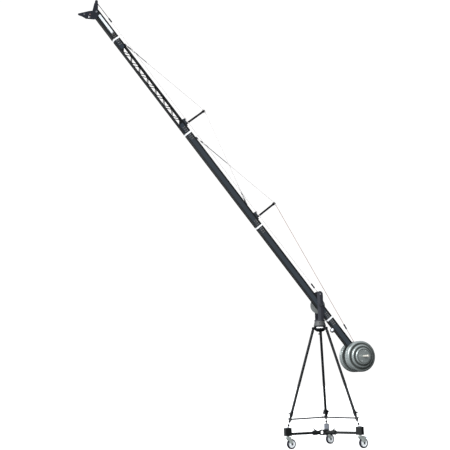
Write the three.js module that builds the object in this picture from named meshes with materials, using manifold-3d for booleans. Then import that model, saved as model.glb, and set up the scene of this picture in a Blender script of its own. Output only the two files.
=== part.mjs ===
// Camera jib crane: a sectional arm with a levelling head, on a tripod that stands on a dolly.
// Millimetres, +Z up. The arm rises towards -X, and its weights hang behind the pan axis.
import * as THREE from 'three';
import { mergeVertices } from 'three/addons/utils/BufferGeometryUtils.js';
import Module from 'manifold-3d';

const wasm = await Module();
wasm.setup();

// Clearances: pieces that touch, shafts that turn, clevis slots, the open pivot, and the reach of cuts
const gap = 0.3;
const turnGap = 0.45;
const slotClearance = 0.5;
const openPivotClearance = 1;
const overrun = 20;
const weldDepth = 1;

// Facet counts
const roundSides = 20;
const pinSides = 12;
const wireSides = 6;
const rodSides = 8;
const hexSides = 6;
const tyreSides = 16;
const bigPlateSides = 20;
const mediumPlateSides = 18;
const smallPlateSides = 16;
const ballRings = 8;
const smallBallRings = 6;
const eyeSegments = 3;
const windowSegments = 2;
const lobeSteps = 6;

// Posture, in degrees
const armElevation = 52.16;
const leftLegAngle = 183.3;
const legSpacing = 120;
const castorAngle = 9.5;

// The crown's top above the floor, the pan base and the tilt pivot over it, and the levelling lever
const crownTop = 1538;
const panBaseHeight = 63;
const pivotRise = 206;
const leverHeight = 144;

// Dolly hub
const hubHeight = 185;
const hubBossRadius = 40;
const hubBossHeight = 66;
const hubRingOffset = 33;
const hubRingBore = 21.5;
const hubRingStraight = 18;
const hubRingThickness = 14;
const hubRingLength = 36;
const hubRingWall = 3;
const socketRadius = 24;
const socketReach = 165;
const socketDepth = 60;
const socketRoot = 20;
const socketCollarRadius = 29;
const socketCollarLength = 56;

// Dolly arms with their foot blocks
const dollyTubeRadius = 16.5;
const footReach = 518;
const footBlockLength = 88;
const footBlockWidth = 64;
const footBlockBottom = 163;
const footBlockHeight = 98;
const footBlockCorner = 9;
const footBallDrop = 11;
const footCupClearance = 3;

// Clamp screws on the hub, each with a sloping lever
const clampKnobReach = 136;
const clampStemRadius = 5;
const clampHubRadius = 12;
const clampHubHeight = 11;
const clampLeverRadius = 4.5;
const clampLeverLength = 48;
const clampLeverSlope = 36;
const clampTipRadius = 6.5;

// Castors
const wheelRadius = 62.5;
const wheelWidth = 32;
const wheelBarrelRadius = 15;
const rimRadius = 47;
const rimLip = 3;
const webThickness = 14;
const treadWidth = 12;
const tyreShoulder = 4.5;
const castorTrail = 45;
const axleRadius = 6;
const axleHeadLength = 5;
const forkInside = 36;
const forkLegThickness = 4;
const forkEyeRadius = 12;
const forkCrownBack = 24;
const forkCrownFront = 32;
const forkCheekFront = 38;
const brakeCheekFront = 74;
const forkCheekDrop = 22;
const forkCrownHeight = 11;
const forkDiscRadius = 16;
const forkDiscHeight = 12;
const castorStemRadius = 10;
const castorStemLength = 38;

// Foot brake of the right castor
const brakePivotReach = 65;
const brakePivotHeight = 131;
const brakePinRadius = 3;
const brakeHubRadius = 6.5;
const brakePedalLength = 46;
const brakePedalDrop = 14;
const brakePedalWidth = 30;
const brakePedalThickness = 5;

// Tripod crown
const crownRadius = 77;
const crownHeight = 38;
const bowlDrop = 73;
const bowlFootRadius = 30;
const bowlRadiusShares = [1, 0.9, 0.66];
const bowlHeightShares = [1, 0.62, 0.22];
const crownBore = 12;
const legPivotReach = 95;
const legPivotDrop = 30;
const earRadius = 17;
const earThickness = 8;
const earRoot = 60;
const legPinRadius = 5;
const legPinProud = 3;

// Tripod legs: the tops are measured down from the leg pivot, the rises up from the foot ball
const footBallRadius = 12;
const tongueThickness = 15;
const tongueRadius = 13.5;
const tongueLength = 46;
const ferruleRadius = 18.2;
const ferruleLength = 22;
const upperTubeRadius = 17;
const upperTubeBore = 14.5;
const upperTubeBoreMargin = 40;
const lockCollarRise = 157;
const lockCollarLength = 62;
const lockCollarRadius = 20.5;
const lockLeverLength = 66;
const lockLeverWidth = 15;
const lockLeverThickness = 8;
const lockHingeRadius = 9;
const tubeOverlap = 588;
const lowerTubeWall = 2.2;
const footSpikeRadius = 5;
const footSpikeLength = 85;
const footNutRise = 50;
const footNutRadius = 10;
const footNutLength = 14;
const footFerruleLength = 30;

// Mid spreader
const spreaderHubRise = 8;
const spreaderHubRadius = 34;
const spreaderHubThickness = 20;
const spreaderPinReach = 24;
const spreaderPinRadius = 3;
const spreaderEyeRadius = 8;
const spreaderEyeThickness = 10;
const spreaderTongueReach = 6;
const spreaderRodRadius = 7;
const spreaderRingRise = 122;
const spreaderRingRadius = 21;
const spreaderRingLength = 26;
const wingStemRadius = 5;
const wingStemLength = 12;
const wingWidth = 28;
const wingHeight = 16;
const wingThickness = 5;

// Tie-down knob under the bowl
const tieBoltRadius = 8;
const tieBoltEngagement = 22;
const tieCupRadius = 16;
const tieCupHeight = 6;
const tieHubRadius = 12;
const tieHubHeight = 33;
const tieWingSpan = 54;
const tieWingThickness = 8;
const tieWingHeight = 17;

// Pan base
const panBaseRadius = 80;
const panBaseTopRadius = 66;
const panBaseRim = 9;
const panScrewRadius = 4;
const panScrewDepth = 14;
const panScrewAngle = 246;
const spindleRadius = 20;
const spindleLength = 30;

// Yoke
const yokeDiscRadius = 70;
const yokeDiscHeight = 14;
const yokePlateWidth = 80;
const yokePlateThickness = 10;
const yokeInside = 92;
const yokeFlangeReach = 54;
const yokeFlangeRise = 22;
const yokeBevelStart = 27;
const yokeBevelDepth = 8;

// Tilt axle, levelling pin, brake disc and lock knob
const tiltAxleRadius = 10;
const tiltHeadRadius = 17;
const tiltHeadLength = 8;
const tiltEndReach = 82;
const levelPinRadius = 6;
const levelPinCollar = 11;
const levelPinHead = 11;
const levelPinHeadLength = 6;
const brakeDiscRadius = 105;
const brakeDiscThickness = 5;
const lockKnobRadius = 30;
const lockKnobThickness = 18;
const lockKnobShank = 15;
const lockKnobShankLength = 9;
const lockKnobLobes = 6;
const lockKnobLobeShare = 0.1;

// Arm: places along it count from the tilt pivot towards the tip, heights from its centre line
const armHeight = 90;
const armWidth = 76;
const armWall = 4;
const armCorner = 4;
const hingeReach = 4772;
const tipLength = 421;
const rearJoint = -221;
const rearSectionLength = 700;
const bandLength = 22;
const bandProud = 1;
const sleeveLength = 200;
const sleeveWall = 4;
const sleeveCorner = 1;
const pivotBossRadius = 24;
const pivotSleeveRadius = 20;
const hingeSleeveRadius = 16;
const hingePinRadius = 8;
const hingePinHead = 14;
const hingePinHeadLength = 6;

// Lattice windows in the side walls of one section, between two plain stretches at its joints
const latticeWindows = 14;
const latticeRearMargin = 123;
const latticeFrontMargin = 111;
const latticeChord = 6;
const latticeShrinkShare = 0.86;
const latticeCornerShare = 0.1;

// King posts, each a little ahead of the joint behind it
const frontPostLead = 116;
const rearPostLead = 112;
const postTop = 390;
const postWidth = 25;
const postBaseRise = 15;
const postBlockRise = 36;
const postBaseBack = 32;
const postBaseFront = 74;
const postBaseWidth = 52;
const postBlockLength = 50;
const postBlockWidth = 40;
const postPinSpread = 9;
const postHeadRadius = 8;
const postHeadDepth = 30;
const postShoulderDrop = 12;
const postKnobReach = 58;
const postKnobHeight = 94;
const postKnobRadius = 14;
const postKnobStem = 8;

// Lugs and clevises that hold the stays
const lugThickness = 8;
const lugPinRadius = 4;
const lugPinRise = 14;
const lugEyeRadius = 9;
const lugFoot = 18;
const lugPinProud = 6;
const clevisEarThickness = 4;
const clevisEyeRadius = 7;
const clevisThroat = 15;
const clevisLength = 26;

// Stays: anchors from the joints near them, turnbuckles and connectors from the anchor pin
const wireRadius = 2.5;
const buckleRadius = 7.5;
const buckleEnd = 12;
const buckleWindow = 8;
const buckleRodRadius = 3;
const buckleRodShare = 0.3;
const connectorRadius = 4;
const stayCrossing = 10;
const frontForeBack = 114;
const frontForeBuckleStart = 46;
const frontForeBuckleLength = 174;
const frontForeConnectorStart = 366;
const frontForeConnectorLength = 32;
const frontAftLead = 326;
const frontAftBuckleStart = 32;
const frontAftBuckleLength = 152;
const rearForeBack = 106;
const rearForeBuckleStart = 73;
const rearForeBuckleLength = 124;
const rearForeConnectorStart = 524;
const rearForeConnectorLength = 62;
const rearAftLead = 101;
const rearAftBuckleStart = 345;
const rearAftBuckleLength = 70;

// Levelling wire, from the yoke pin
const levelWireSide = -27;
const levelWireRadius = 3;
const levelEyeRadius = 12;
const levelEyeThickness = 12;
const levelShankRadius = 4.5;
const levelShankLength = 60;
const levelBuckleRadius = 7.5;
const levelRearBuckleStart = 105;
const levelRearBuckleLength = 67;
const levelHeadBuckleBack = 322;
const levelHeadBuckleLength = 57;

// Weights on their bar near the arm's rear end
const barLead = 75;
const barDrop = 10;
const barRadius = 15;
const barLength = 660;
const stopCollarRadius = 28;
const stopCollarEnd = 50;
const bigPlateRadius = 200;
const bigPlateThickness = 44.7;
const mediumPlateRadius = 152;
const mediumPlateThickness = 36.7;
const smallPlateRadius = 110;
const smallPlateThickness = 28.7;
const bigPlateRim = 22;
const mediumPlateRim = 18;
const smallPlateRim = 14;
const plateWeb = 12;
const bigPlateHub = 45;
const mediumPlateHub = 40;
const smallPlateHub = 35;
const plateRimRound = 6;

// Ball knob under the rear section
const ballBack = 139;
const ballDrop = 70;
const ballSide = -25;
const ballRadius = 24;
const ballStemRadius = 6;
const ballWasherRadius = 13;
const ballWasherThickness = 4;

// Levelling head, measured from its hinge; the near cheek runs out to a nose, the far one stops short
const cheekInside = 80;
const cheekThickness = 8;
const headPlateBack = 20;
const headPlateLength = 96;
const headPlateThickness = 10;
const headPlateDrop = 68;
const headPlateHole = 10;
const headSpacerRadius = 7;
const spacerFrontReach = 106;
const spacerFrontDrop = 34;
const spacerBackReach = 82;
const spacerBackDrop = 46;
const headPinRadius = 6;
const headPinCollar = 10;
const headLobeRadius = 18;
const headFrontWidth = 20;
const headShoulder = 86;
const headNeckReach = 44;
const headNeckRise = 27;
const headThroatReach = 59;
const headThroatRise = 10;
const headBrowReach = 97;
const headBrowRise = 1;
const headNoseReach = 237;
const headNoseDrop = 57;
const headNoseHalf = 13;
const headNoseBack = 225;
const headLipReach = 178;
const headLipDrop = 85;
const headJawReach = 131;
const headJawDrop = 110;
const headBottomReach = 118;
const headBottomDrop = 104;
const headBottomBack = 3;
const headChinReach = 24;
const headChinDrop = 50;
const farCheekReach = 120;
const farCheekBrowDrop = 20;

// Derived places
const degree = Math.PI / 180;
const legNames = ['left', 'right', 'rear'];
const legAngles = legNames.map((name, index) => (leftLegAngle + legSpacing * index) * degree);
const panBaseTop = crownTop + panBaseHeight;
const pivotHeight = panBaseTop + pivotRise;
const bowlBottom = crownTop - bowlDrop;
const legPivotHeight = crownTop - legPivotDrop;
const footBlockTop = footBlockBottom + footBlockHeight;
const footBallHeight = footBlockTop - footBallDrop;
const legRun = footReach - legPivotReach;
const legDrop = legPivotHeight - footBallHeight;
const legLength = Math.hypot(legRun, legDrop);
const legLean = Math.atan2(legRun, legDrop);
const lowerTubeRadius = upperTubeBore - gap;
const lockCollarStart = legLength - lockCollarRise - lockCollarLength;
const lowerTubeTop = lockCollarStart - tubeOverlap;
const spreaderRingHeight = footBallHeight + spreaderRingRise * Math.cos(legLean);
const spreaderRingReach = footReach - spreaderRingRise * Math.sin(legLean);
const spreaderHubHeight = spreaderRingHeight + spreaderHubRise;
const yokeDiscBottom = panBaseTop + gap;
const yokePlateOuter = yokeInside / 2 + yokePlateThickness;
const armTop = armHeight / 2;
const armSide = armWidth / 2;
const lugPinHeight = armTop + lugPinRise;
const postPinHeight = postTop - postHeadRadius;
const clevisInner = lugThickness / 2 + slotClearance;
const clevisOuter = clevisInner + clevisEarThickness;
const sectionLength = (hingeReach - tipLength - rearJoint) / 3;
const jointReach = [0, 1, 2, 3].map((index) => rearJoint + index * sectionLength);
const rearEnd = rearJoint - rearSectionLength;
const bandRoom = bandLength / 2 + gap;
const frontPostReach = jointReach[2] + frontPostLead;
const rearPostReach = jointReach[1] + rearPostLead;
const frontForeAnchor = jointReach[3] - frontForeBack;
const frontAftAnchor = jointReach[1] + frontAftLead;
const rearForeAnchor = jointReach[2] - rearForeBack;
const rearAftAnchor = rearEnd + rearAftLead;
const barReach = rearEnd + barLead;
const ballReach = rearJoint - ballBack;
const forkOuter = forkInside / 2 + forkLegThickness;
const forkTop = footBlockBottom - gap;

// Finishes
const darkPaint = { color: 0x2c3036, roughness: 0.42, metalness: 0.55 };
const blackPaint = { color: 0x1b1d20, roughness: 0.5, metalness: 0.5 };
const armGrey = { color: 0x3b4248, roughness: 0.42, metalness: 0.6 };
const castGrey = { color: 0x8a8e90, roughness: 0.55, metalness: 0.6 };
const plateGrey = { color: 0x777f82, roughness: 0.45, metalness: 0.55 };
const brightSteel = { color: 0xd0d3d6, roughness: 0.2, metalness: 1 };
const zinc = { color: 0xb4bcb0, roughness: 0.4, metalness: 0.9 };
const rodGrey = { color: 0x5c5b60, roughness: 0.4, metalness: 0.7 };
const tyreGrey = { color: 0x656673, roughness: 0.85, metalness: 0 };
const brakeBlue = { color: 0xadc1da, roughness: 0.5, metalness: 0 };
const knobBlack = { color: 0x17181a, roughness: 0.6, metalness: 0 };

// A closed geometry as a solid that can be joined and cut
function solidOf(geometry) {
  geometry.deleteAttribute('normal');
  geometry.deleteAttribute('uv');
  const merged = mergeVertices(geometry);
  const vertProperties = Float32Array.from(merged.attributes.position.array);
  const triVerts = Uint32Array.from(merged.index.array);
  return new wasm.Manifold(new wasm.Mesh({ numProp: 3, vertProperties, triVerts }));
}

// A solid as a geometry
function geometryOf(solid) {
  const faces = solid.getMesh();
  const geometry = new THREE.BufferGeometry();
  geometry.setAttribute('position', new THREE.BufferAttribute(faces.vertProperties, 3));
  geometry.setIndex(new THREE.BufferAttribute(faces.triVerts, 1));
  geometry.computeVertexNormals();
  return geometry;
}

function joined(solids) {
  return solids.reduce((whole, solid) => whole.add(solid));
}

function cut(solid, tools) {
  return tools.reduce((rest, tool) => rest.subtract(tool), solid);
}

// A named mesh of one solid
function piece(name, solid, finish) {
  const mesh = new THREE.Mesh(geometryOf(solid), new THREE.MeshStandardMaterial(finish));
  mesh.name = name;
  return mesh;
}

// A group with its origin at a joint, turned about one axis
function groupAt(x, y, z, axis = 'z', angle = 0) {
  const group = new THREE.Group();
  group.position.set(x, y, z);
  group.rotation[axis] = angle;
  return group;
}

function block(x0, x1, y0, y1, z0, z1) {
  const geometry = new THREE.BoxGeometry(x1 - x0, y1 - y0, z1 - z0);
  return solidOf(geometry.translate((x0 + x1) / 2, (y0 + y1) / 2, (z0 + z1) / 2));
}

// Round bars along each axis, from one place to another on it
function barX(radius, x0, x1, y = 0, z = 0, sides = pinSides) {
  const geometry = new THREE.CylinderGeometry(radius, radius, x1 - x0, sides).rotateZ(Math.PI / 2);
  return solidOf(geometry.translate((x0 + x1) / 2, y, z));
}

function barY(radius, y0, y1, x = 0, z = 0, sides = pinSides) {
  const geometry = new THREE.CylinderGeometry(radius, radius, y1 - y0, sides);
  return solidOf(geometry.translate(x, (y0 + y1) / 2, z));
}

function barZ(radius, z0, z1, x = 0, y = 0, sides = pinSides) {
  const geometry = new THREE.CylinderGeometry(radius, radius, z1 - z0, sides).rotateX(Math.PI / 2);
  return solidOf(geometry.translate(x, y, (z0 + z1) / 2));
}

// A round body about the y axis from a profile of radius and height points, going round it once
function turned(points, sides = roundSides, start = 0) {
  const profile = points.map(([radius, along]) => new THREE.Vector2(radius, along));
  return solidOf(new THREE.LatheGeometry(profile, sides, start));
}

// The same about the z axis
function turnedZ(points, sides = roundSides) {
  const profile = points.map(([radius, along]) => new THREE.Vector2(radius, along));
  return solidOf(new THREE.LatheGeometry(profile, sides).rotateX(Math.PI / 2));
}

// A plate of an outline drawn in x and z, between two places on the y axis
function plateY(shape, y0, y1, curveSegments = 4) {
  const settings = { depth: y1 - y0, bevelEnabled: false, curveSegments };
  return solidOf(new THREE.ExtrudeGeometry(shape, settings).rotateX(Math.PI / 2).translate(0, y1, 0));
}

// A plate of an outline drawn in x and y, between two heights
function plateZ(shape, z0, z1, curveSegments = 6) {
  const settings = { depth: z1 - z0, bevelEnabled: false, curveSegments };
  return solidOf(new THREE.ExtrudeGeometry(shape, settings).translate(0, 0, z0));
}

function outline(points) {
  return new THREE.Shape(points.map(([x, y]) => new THREE.Vector2(x, y)));
}

// A rectangle about the origin with cut corners
function chamferedRectangle(width, height, corner) {
  const w = width / 2;
  const h = height / 2;
  return [
    [-w, corner - h], [corner - w, -h], [w - corner, -h], [w, corner - h],
    [w, h - corner], [w - corner, h], [corner - w, h], [-w, h - corner]
  ];
}

// A bar along the arm between two places on it, of an outline across it
function prismX(points, from, to) {
  const geometry = new THREE.ExtrudeGeometry(outline(points), { depth: to - from, bevelEnabled: false });
  const alongX = new THREE.Matrix4().makeBasis(
    new THREE.Vector3(0, 1, 0), new THREE.Vector3(0, 0, 1), new THREE.Vector3(1, 0, 0)
  );
  return solidOf(geometry.applyMatrix4(alongX).translate(-to, 0, 0));
}

// Straight box tube along the arm, open at both ends
function boxTube(from, to, width, height, wall, corner) {
  const y = width / 2 - wall;
  const z = height / 2 - wall;
  const bore = block(-to - overrun, -from + overrun, -y, y, -z, z);
  return prismX(chamferedRectangle(width, height, corner), from, to).subtract(bore);
}

// Dolly hub: a boss, an oval hand hole beside it, and three collared sockets for the arms
function dollyHub() {
  const ringX = -hubRingOffset;
  const half = hubRingStraight / 2;
  const lowerFace = -hubBossHeight / 2;
  const oval = (radius) => {
    const shape = new THREE.Shape();
    shape.absarc(ringX + half, 0, radius, -Math.PI / 2, Math.PI / 2);
    shape.absarc(ringX - half, 0, radius, Math.PI / 2, 3 * Math.PI / 2);
    return shape;
  };
  const parts = [
    barZ(hubBossRadius, lowerFace, -lowerFace, 0, 0, roundSides),
    plateY(oval(hubRingBore + hubRingThickness), -hubRingLength / 2, hubRingLength / 2)
  ];
  const bores = [plateY(oval(hubRingBore), -hubBossHeight, hubBossHeight)];
  legAngles.forEach((angle, index) => {
    const turn = [0, 0, angle / degree];
    const root = index === 0 ? hubRingOffset + half + hubRingBore + hubRingWall : socketRoot;
    parts.push(barX(socketRadius, root, socketReach).rotate(turn));
    parts.push(barX(socketCollarRadius, socketReach - socketCollarLength, socketReach).rotate(turn));
    const bore = barX(dollyTubeRadius + gap, socketReach - socketDepth, socketReach + overrun);
    bores.push(bore.rotate(turn));
    if (index < 2) {
      const top = socketCollarRadius + overrun;
      bores.push(barZ(clampStemRadius + turnGap, 0, top, clampKnobReach, 0, rodSides).rotate(turn));
    }
  });
  const hub = piece('dolly_hub', cut(joined(parts), bores), darkPaint);
  hub.position.z = hubHeight;
  return hub;
}

// Clamp screw that presses on a dolly arm in its socket, with a round hub and a lever that points outwards
function clampKnob(name, angle) {
  const seat = dollyTubeRadius + gap;
  const hubBottom = socketCollarRadius + gap;
  const hubTop = hubBottom + clampHubHeight;
  const tip = solidOf(new THREE.SphereGeometry(clampTipRadius, rodSides, smallBallRings));
  const lever = barX(clampLeverRadius, 0, clampLeverLength, 0, 0, rodSides)
    .add(tip.translate([clampLeverLength, 0, 0]))
    .rotate([0, -clampLeverSlope, 0])
    .translate([0, 0, (hubBottom + hubTop) / 2]);
  const knob = piece(name, joined([
    barZ(clampStemRadius, seat, hubTop - weldDepth, 0, 0, rodSides),
    barZ(clampHubRadius, hubBottom, hubTop),
    lever
  ]), knobBlack);
  knob.position.set(clampKnobReach * Math.cos(angle), clampKnobReach * Math.sin(angle), hubHeight);
  knob.rotation.z = angle;
  return knob;
}

// Dolly arm: a round tube with a foot block that holds the leg's cup above and the castor below
function dollyArm(name, angle) {
  const tubeStart = socketReach - socketDepth + gap;
  const blockFace = footReach - footBlockLength / 2;
  const tube = barX(dollyTubeRadius, tubeStart, blockFace + weldDepth, 0, hubHeight);
  const shape = outline(chamferedRectangle(footBlockLength, footBlockWidth, footBlockCorner));
  const foot = plateZ(shape, footBlockBottom, footBlockTop).translate([footReach, 0, 0]);
  const cupBottom = footBallHeight - footBallRadius - gap;
  const cup = barZ(footBallRadius + footCupClearance, cupBottom, footBlockTop + overrun, footReach, 0);
  const pocketTop = footBlockBottom + castorStemLength + gap;
  const pocket = barZ(castorStemRadius + turnGap, footBlockBottom - overrun, pocketTop, footReach, 0);
  const arm = piece(name, cut(tube.add(foot), [cup, pocket]), darkPaint);
  arm.rotation.z = angle;
  return arm;
}

// Castor fork: stem, bearing neck, crown and two cheeks down to the axle, longer ones where a brake hangs
function castorFork(name, hasBrake) {
  const cheekFront = hasBrake ? brakeCheekFront : forkCheekFront;
  const discBottom = forkTop - forkDiscHeight;
  const crownBottom = discBottom - forkCrownHeight;
  const cheekShape = new THREE.Shape();
  cheekShape.moveTo(-forkCrownBack, discBottom);
  cheekShape.lineTo(-forkCrownBack, crownBottom);
  cheekShape.lineTo(castorTrail - forkEyeRadius, wheelRadius);
  cheekShape.absarc(castorTrail, wheelRadius, forkEyeRadius, Math.PI, 2 * Math.PI);
  cheekShape.lineTo(cheekFront, discBottom - forkCheekDrop);
  cheekShape.lineTo(cheekFront, crownBottom);
  cheekShape.lineTo(forkCrownFront, discBottom);
  const axleEnd = forkOuter + axleHeadLength;
  const parts = [
    barZ(castorStemRadius, forkTop - weldDepth, footBlockBottom + castorStemLength),
    barZ(forkDiscRadius, discBottom, forkTop),
    block(-forkCrownBack, forkCrownFront, -forkOuter, forkOuter, crownBottom, discBottom),
    plateY(cheekShape, forkInside / 2, forkOuter, eyeSegments),
    plateY(cheekShape, -forkOuter, -forkInside / 2, eyeSegments),
    barY(axleRadius, -axleEnd, axleEnd, castorTrail, wheelRadius)
  ];
  if (hasBrake) {
    parts.push(barY(brakePinRadius, -forkOuter, forkOuter, brakePivotReach, brakePivotHeight, rodSides));
  }
  return piece(name, joined(parts), zinc);
}

// Castor wheel: a tyre on a spoked rim's outline, flat under its lowest facet
function castorWheel(name) {
  const round = 1 / Math.cos(Math.PI / tyreSides);
  const bore = axleRadius + gap;
  const barrel = forkInside / 2 - gap;
  const half = wheelWidth / 2;
  const web = webThickness / 2;
  const side = [
    [bore, barrel], [wheelBarrelRadius, barrel], [wheelBarrelRadius, web], [rimRadius, web],
    [rimRadius + rimLip, half], [wheelRadius - tyreShoulder, half], [wheelRadius * round, treadWidth / 2]
  ];
  const mirrored = side.map(([radius, along]) => [radius, -along]);
  const ring = [...mirrored, ...side.reverse(), mirrored[0]];
  const wheel = piece(name, turned(ring, tyreSides, Math.PI / tyreSides), tyreGrey);
  wheel.position.set(castorTrail, 0, wheelRadius);
  return wheel;
}

// Foot brake: a pedal on a cross pin between the fork's cheeks
function castorBrake(name) {
  const half = brakePedalWidth / 2;
  const hubHalf = forkInside / 2 - gap;
  const pedalShape = outline([
    [0, brakePedalThickness / 2],
    [0, -brakePedalThickness / 2],
    [brakePedalLength, -brakePedalDrop - brakePedalThickness / 2],
    [brakePedalLength, -brakePedalDrop + brakePedalThickness / 2]
  ]);
  const body = barY(brakeHubRadius, -hubHalf, hubHalf).add(plateY(pedalShape, -half, half));
  const bore = barY(brakePinRadius + gap, -forkOuter, forkOuter, 0, 0, rodSides);
  const brake = piece(name, body.subtract(bore), brakeBlue);
  brake.position.set(brakePivotReach, 0, brakePivotHeight);
  return brake;
}

// Crown: a ring over a bowl, with three pairs of ears and their hinge pins
function tripodCrown() {
  const crownBottom = crownTop - crownHeight;
  const bowlDepth = crownBottom - bowlBottom;
  const bowl = bowlRadiusShares.map((share, index) => [
    crownRadius * share, bowlBottom + bowlDepth * bowlHeightShares[index]
  ]).reverse();
  const profile = [[crownBore, bowlBottom], [bowlFootRadius, bowlBottom], ...bowl,
    [crownRadius, crownTop], [crownBore, crownTop], [crownBore, bowlBottom]];
  const inner = tongueThickness / 2 + gap;
  const outer = inner + earThickness;
  const earShape = new THREE.Shape();
  earShape.moveTo(earRoot, legPivotHeight - earRadius);
  earShape.lineTo(legPivotReach, legPivotHeight - earRadius);
  earShape.absarc(legPivotReach, legPivotHeight, earRadius, -Math.PI / 2, Math.PI / 2);
  earShape.lineTo(earRoot, legPivotHeight + earRadius);
  const parts = [turnedZ(profile)];
  for (const angle of legAngles) {
    const turn = [0, 0, angle / degree];
    const pinEnd = outer + legPinProud;
    parts.push(plateY(earShape, inner, outer).rotate(turn));
    parts.push(plateY(earShape, -outer, -inner).rotate(turn));
    parts.push(barY(legPinRadius, -pinEnd, pinEnd, legPivotReach, legPivotHeight, rodSides).rotate(turn));
  }
  return piece('tripod_crown', joined(parts), blackPaint);
}

// Upper leg: hinge tongue, ferrule, tube and the lock collar with its cross lever
function upperLeg(name) {
  const tongueShape = new THREE.Shape();
  tongueShape.moveTo(-tongueRadius, -tongueLength);
  tongueShape.lineTo(tongueRadius, -tongueLength);
  tongueShape.lineTo(tongueRadius, 0);
  tongueShape.absarc(0, 0, tongueRadius, 0, Math.PI);
  const ferruleTop = tongueLength - ferruleLength / 2;
  const collarEnd = lockCollarStart + lockCollarLength;
  const leverMiddle = lockCollarStart + lockCollarLength / 2;
  const leverFace = lockCollarRadius + lockLeverThickness;
  const leverHalf = lockLeverLength / 2;
  const parts = [
    plateY(tongueShape, -tongueThickness / 2, tongueThickness / 2),
    barZ(ferruleRadius, -ferruleTop - ferruleLength, -ferruleTop),
    barZ(upperTubeRadius, -lockCollarStart - weldDepth, -ferruleTop - weldDepth),
    barZ(lockCollarRadius, -collarEnd, -lockCollarStart),
    barX(lockHingeRadius, upperTubeRadius, leverFace, 0, -leverMiddle, rodSides),
    block(lockCollarRadius, leverFace, -leverHalf, leverHalf,
      -leverMiddle - lockLeverWidth / 2, -leverMiddle + lockLeverWidth / 2)
  ];
  const bores = [
    barY(legPinRadius + turnGap, -overrun, overrun, 0, 0, rodSides),
    barZ(upperTubeBore, -collarEnd - overrun, -lowerTubeTop + upperTubeBoreMargin)
  ];
  return piece(name, cut(joined(parts), bores), darkPaint);
}

// Lower leg: a thinner tube that slides in the upper one, with a nut on its spike and a ball foot
function lowerLeg(name) {
  const tubeEnd = legLength - footSpikeLength;
  const nut = legLength - footNutRise;
  const ball = solidOf(new THREE.SphereGeometry(footBallRadius, rodSides, smallBallRings));
  const parts = [
    barZ(lowerTubeRadius, -tubeEnd, -lowerTubeTop),
    barZ(footSpikeRadius, -legLength, -tubeEnd + weldDepth, 0, 0, rodSides),
    barZ(footNutRadius, -nut - footNutLength / 2, -nut + footNutLength / 2, 0, 0, hexSides),
    ball.translate([0, 0, -legLength])
  ];
  const boreEnd = tubeEnd - footFerruleLength;
  const bore = barZ(lowerTubeRadius - lowerTubeWall, -boreEnd, -lowerTubeTop + overrun);
  return piece(name, joined(parts).subtract(bore), blackPaint);
}

// Spreader hub: a disc with three slots, each with a hinge pin across it
function spreaderHub() {
  const half = spreaderHubThickness / 2;
  const slot = spreaderEyeThickness / 2 + gap;
  const slotRoot = spreaderPinReach - spreaderEyeRadius - gap;
  let hub = barZ(spreaderHubRadius, -half, half, 0, 0, roundSides);
  for (const angle of legAngles) {
    const turn = [0, 0, angle / degree];
    const opening = block(slotRoot, spreaderHubRadius + overrun, -slot, slot, -overrun, overrun);
    hub = hub.subtract(opening.rotate(turn));
  }
  for (const angle of legAngles) {
    const pin = barY(spreaderPinRadius, -slot - weldDepth, slot + weldDepth, spreaderPinReach, 0, rodSides);
    hub = hub.add(pin.rotate([0, 0, angle / degree]));
  }
  const mesh = piece('spreader_hub', hub, blackPaint);
  mesh.position.z = spreaderHubHeight;
  return mesh;
}

// Spreader arm: an eye on the hub's pin, a rod, and a clamp ring with a wing screw on the leg
function spreaderArm(name, angle) {
  const run = spreaderRingReach - spreaderPinReach;
  const slope = Math.atan2(spreaderHubRise, run) / degree;
  const length = Math.hypot(run, spreaderHubRise);
  const ringHalf = spreaderRingLength / 2;
  const eyeHalf = spreaderEyeThickness / 2;
  const rodStart = spreaderHubRadius - spreaderPinReach + spreaderTongueReach;
  const wingStart = spreaderRingRadius + wingStemLength;
  const lean = -legLean / degree;
  const rodSolid = barY(spreaderEyeRadius, -eyeHalf, eyeHalf, 0, 0, rodSides)
    .add(block(0, rodStart + weldDepth, -eyeHalf, eyeHalf, -spreaderRodRadius / 2, spreaderRodRadius / 2))
    .add(barX(spreaderRodRadius, rodStart, length - upperTubeRadius, 0, 0, rodSides))
    .rotate([0, slope, 0])
    .translate([spreaderPinReach, 0, spreaderHubHeight]);
  const clamp = barZ(spreaderRingRadius, -ringHalf, ringHalf)
    .add(barX(wingStemRadius, spreaderRingRadius - weldDepth, wingStart, 0, 0, wireSides))
    .add(block(wingStart - weldDepth, wingStart + wingThickness, -wingWidth / 2, wingWidth / 2,
      -wingHeight / 2, wingHeight / 2))
    .rotate([0, lean, 0])
    .translate([spreaderRingReach, 0, spreaderRingHeight]);
  const legBore = barZ(upperTubeBore, -ringHalf - overrun, ringHalf + overrun)
    .rotate([0, lean, 0])
    .translate([spreaderRingReach, 0, spreaderRingHeight]);
  const pinBore = barY(spreaderPinRadius + turnGap, -overrun, overrun, spreaderPinReach, spreaderHubHeight,
    rodSides);
  const arm = piece(name, cut(rodSolid.add(clamp), [legBore, pinBore]), rodGrey);
  arm.rotation.z = angle;
  return arm;
}

// Tie-down knob: a bolt through the bowl with a cup washer and two wings
function tieDownKnob() {
  const cupTop = -gap;
  const cupBottom = cupTop - tieCupHeight;
  const hubBottom = cupBottom - tieHubHeight;
  const boltTop = crownTop - bowlBottom + tieBoltEngagement;
  const solid = joined([
    barZ(tieBoltRadius, hubBottom, boltTop),
    barZ(tieCupRadius, cupBottom, cupTop),
    barZ(tieHubRadius, hubBottom, cupBottom + weldDepth),
    block(-tieWingSpan / 2, tieWingSpan / 2, -tieWingThickness / 2, tieWingThickness / 2,
      hubBottom, hubBottom + tieWingHeight)
  ]);
  const knob = piece('tie_down_knob', solid, knobBlack);
  knob.position.z = bowlBottom;
  return knob;
}

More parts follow.
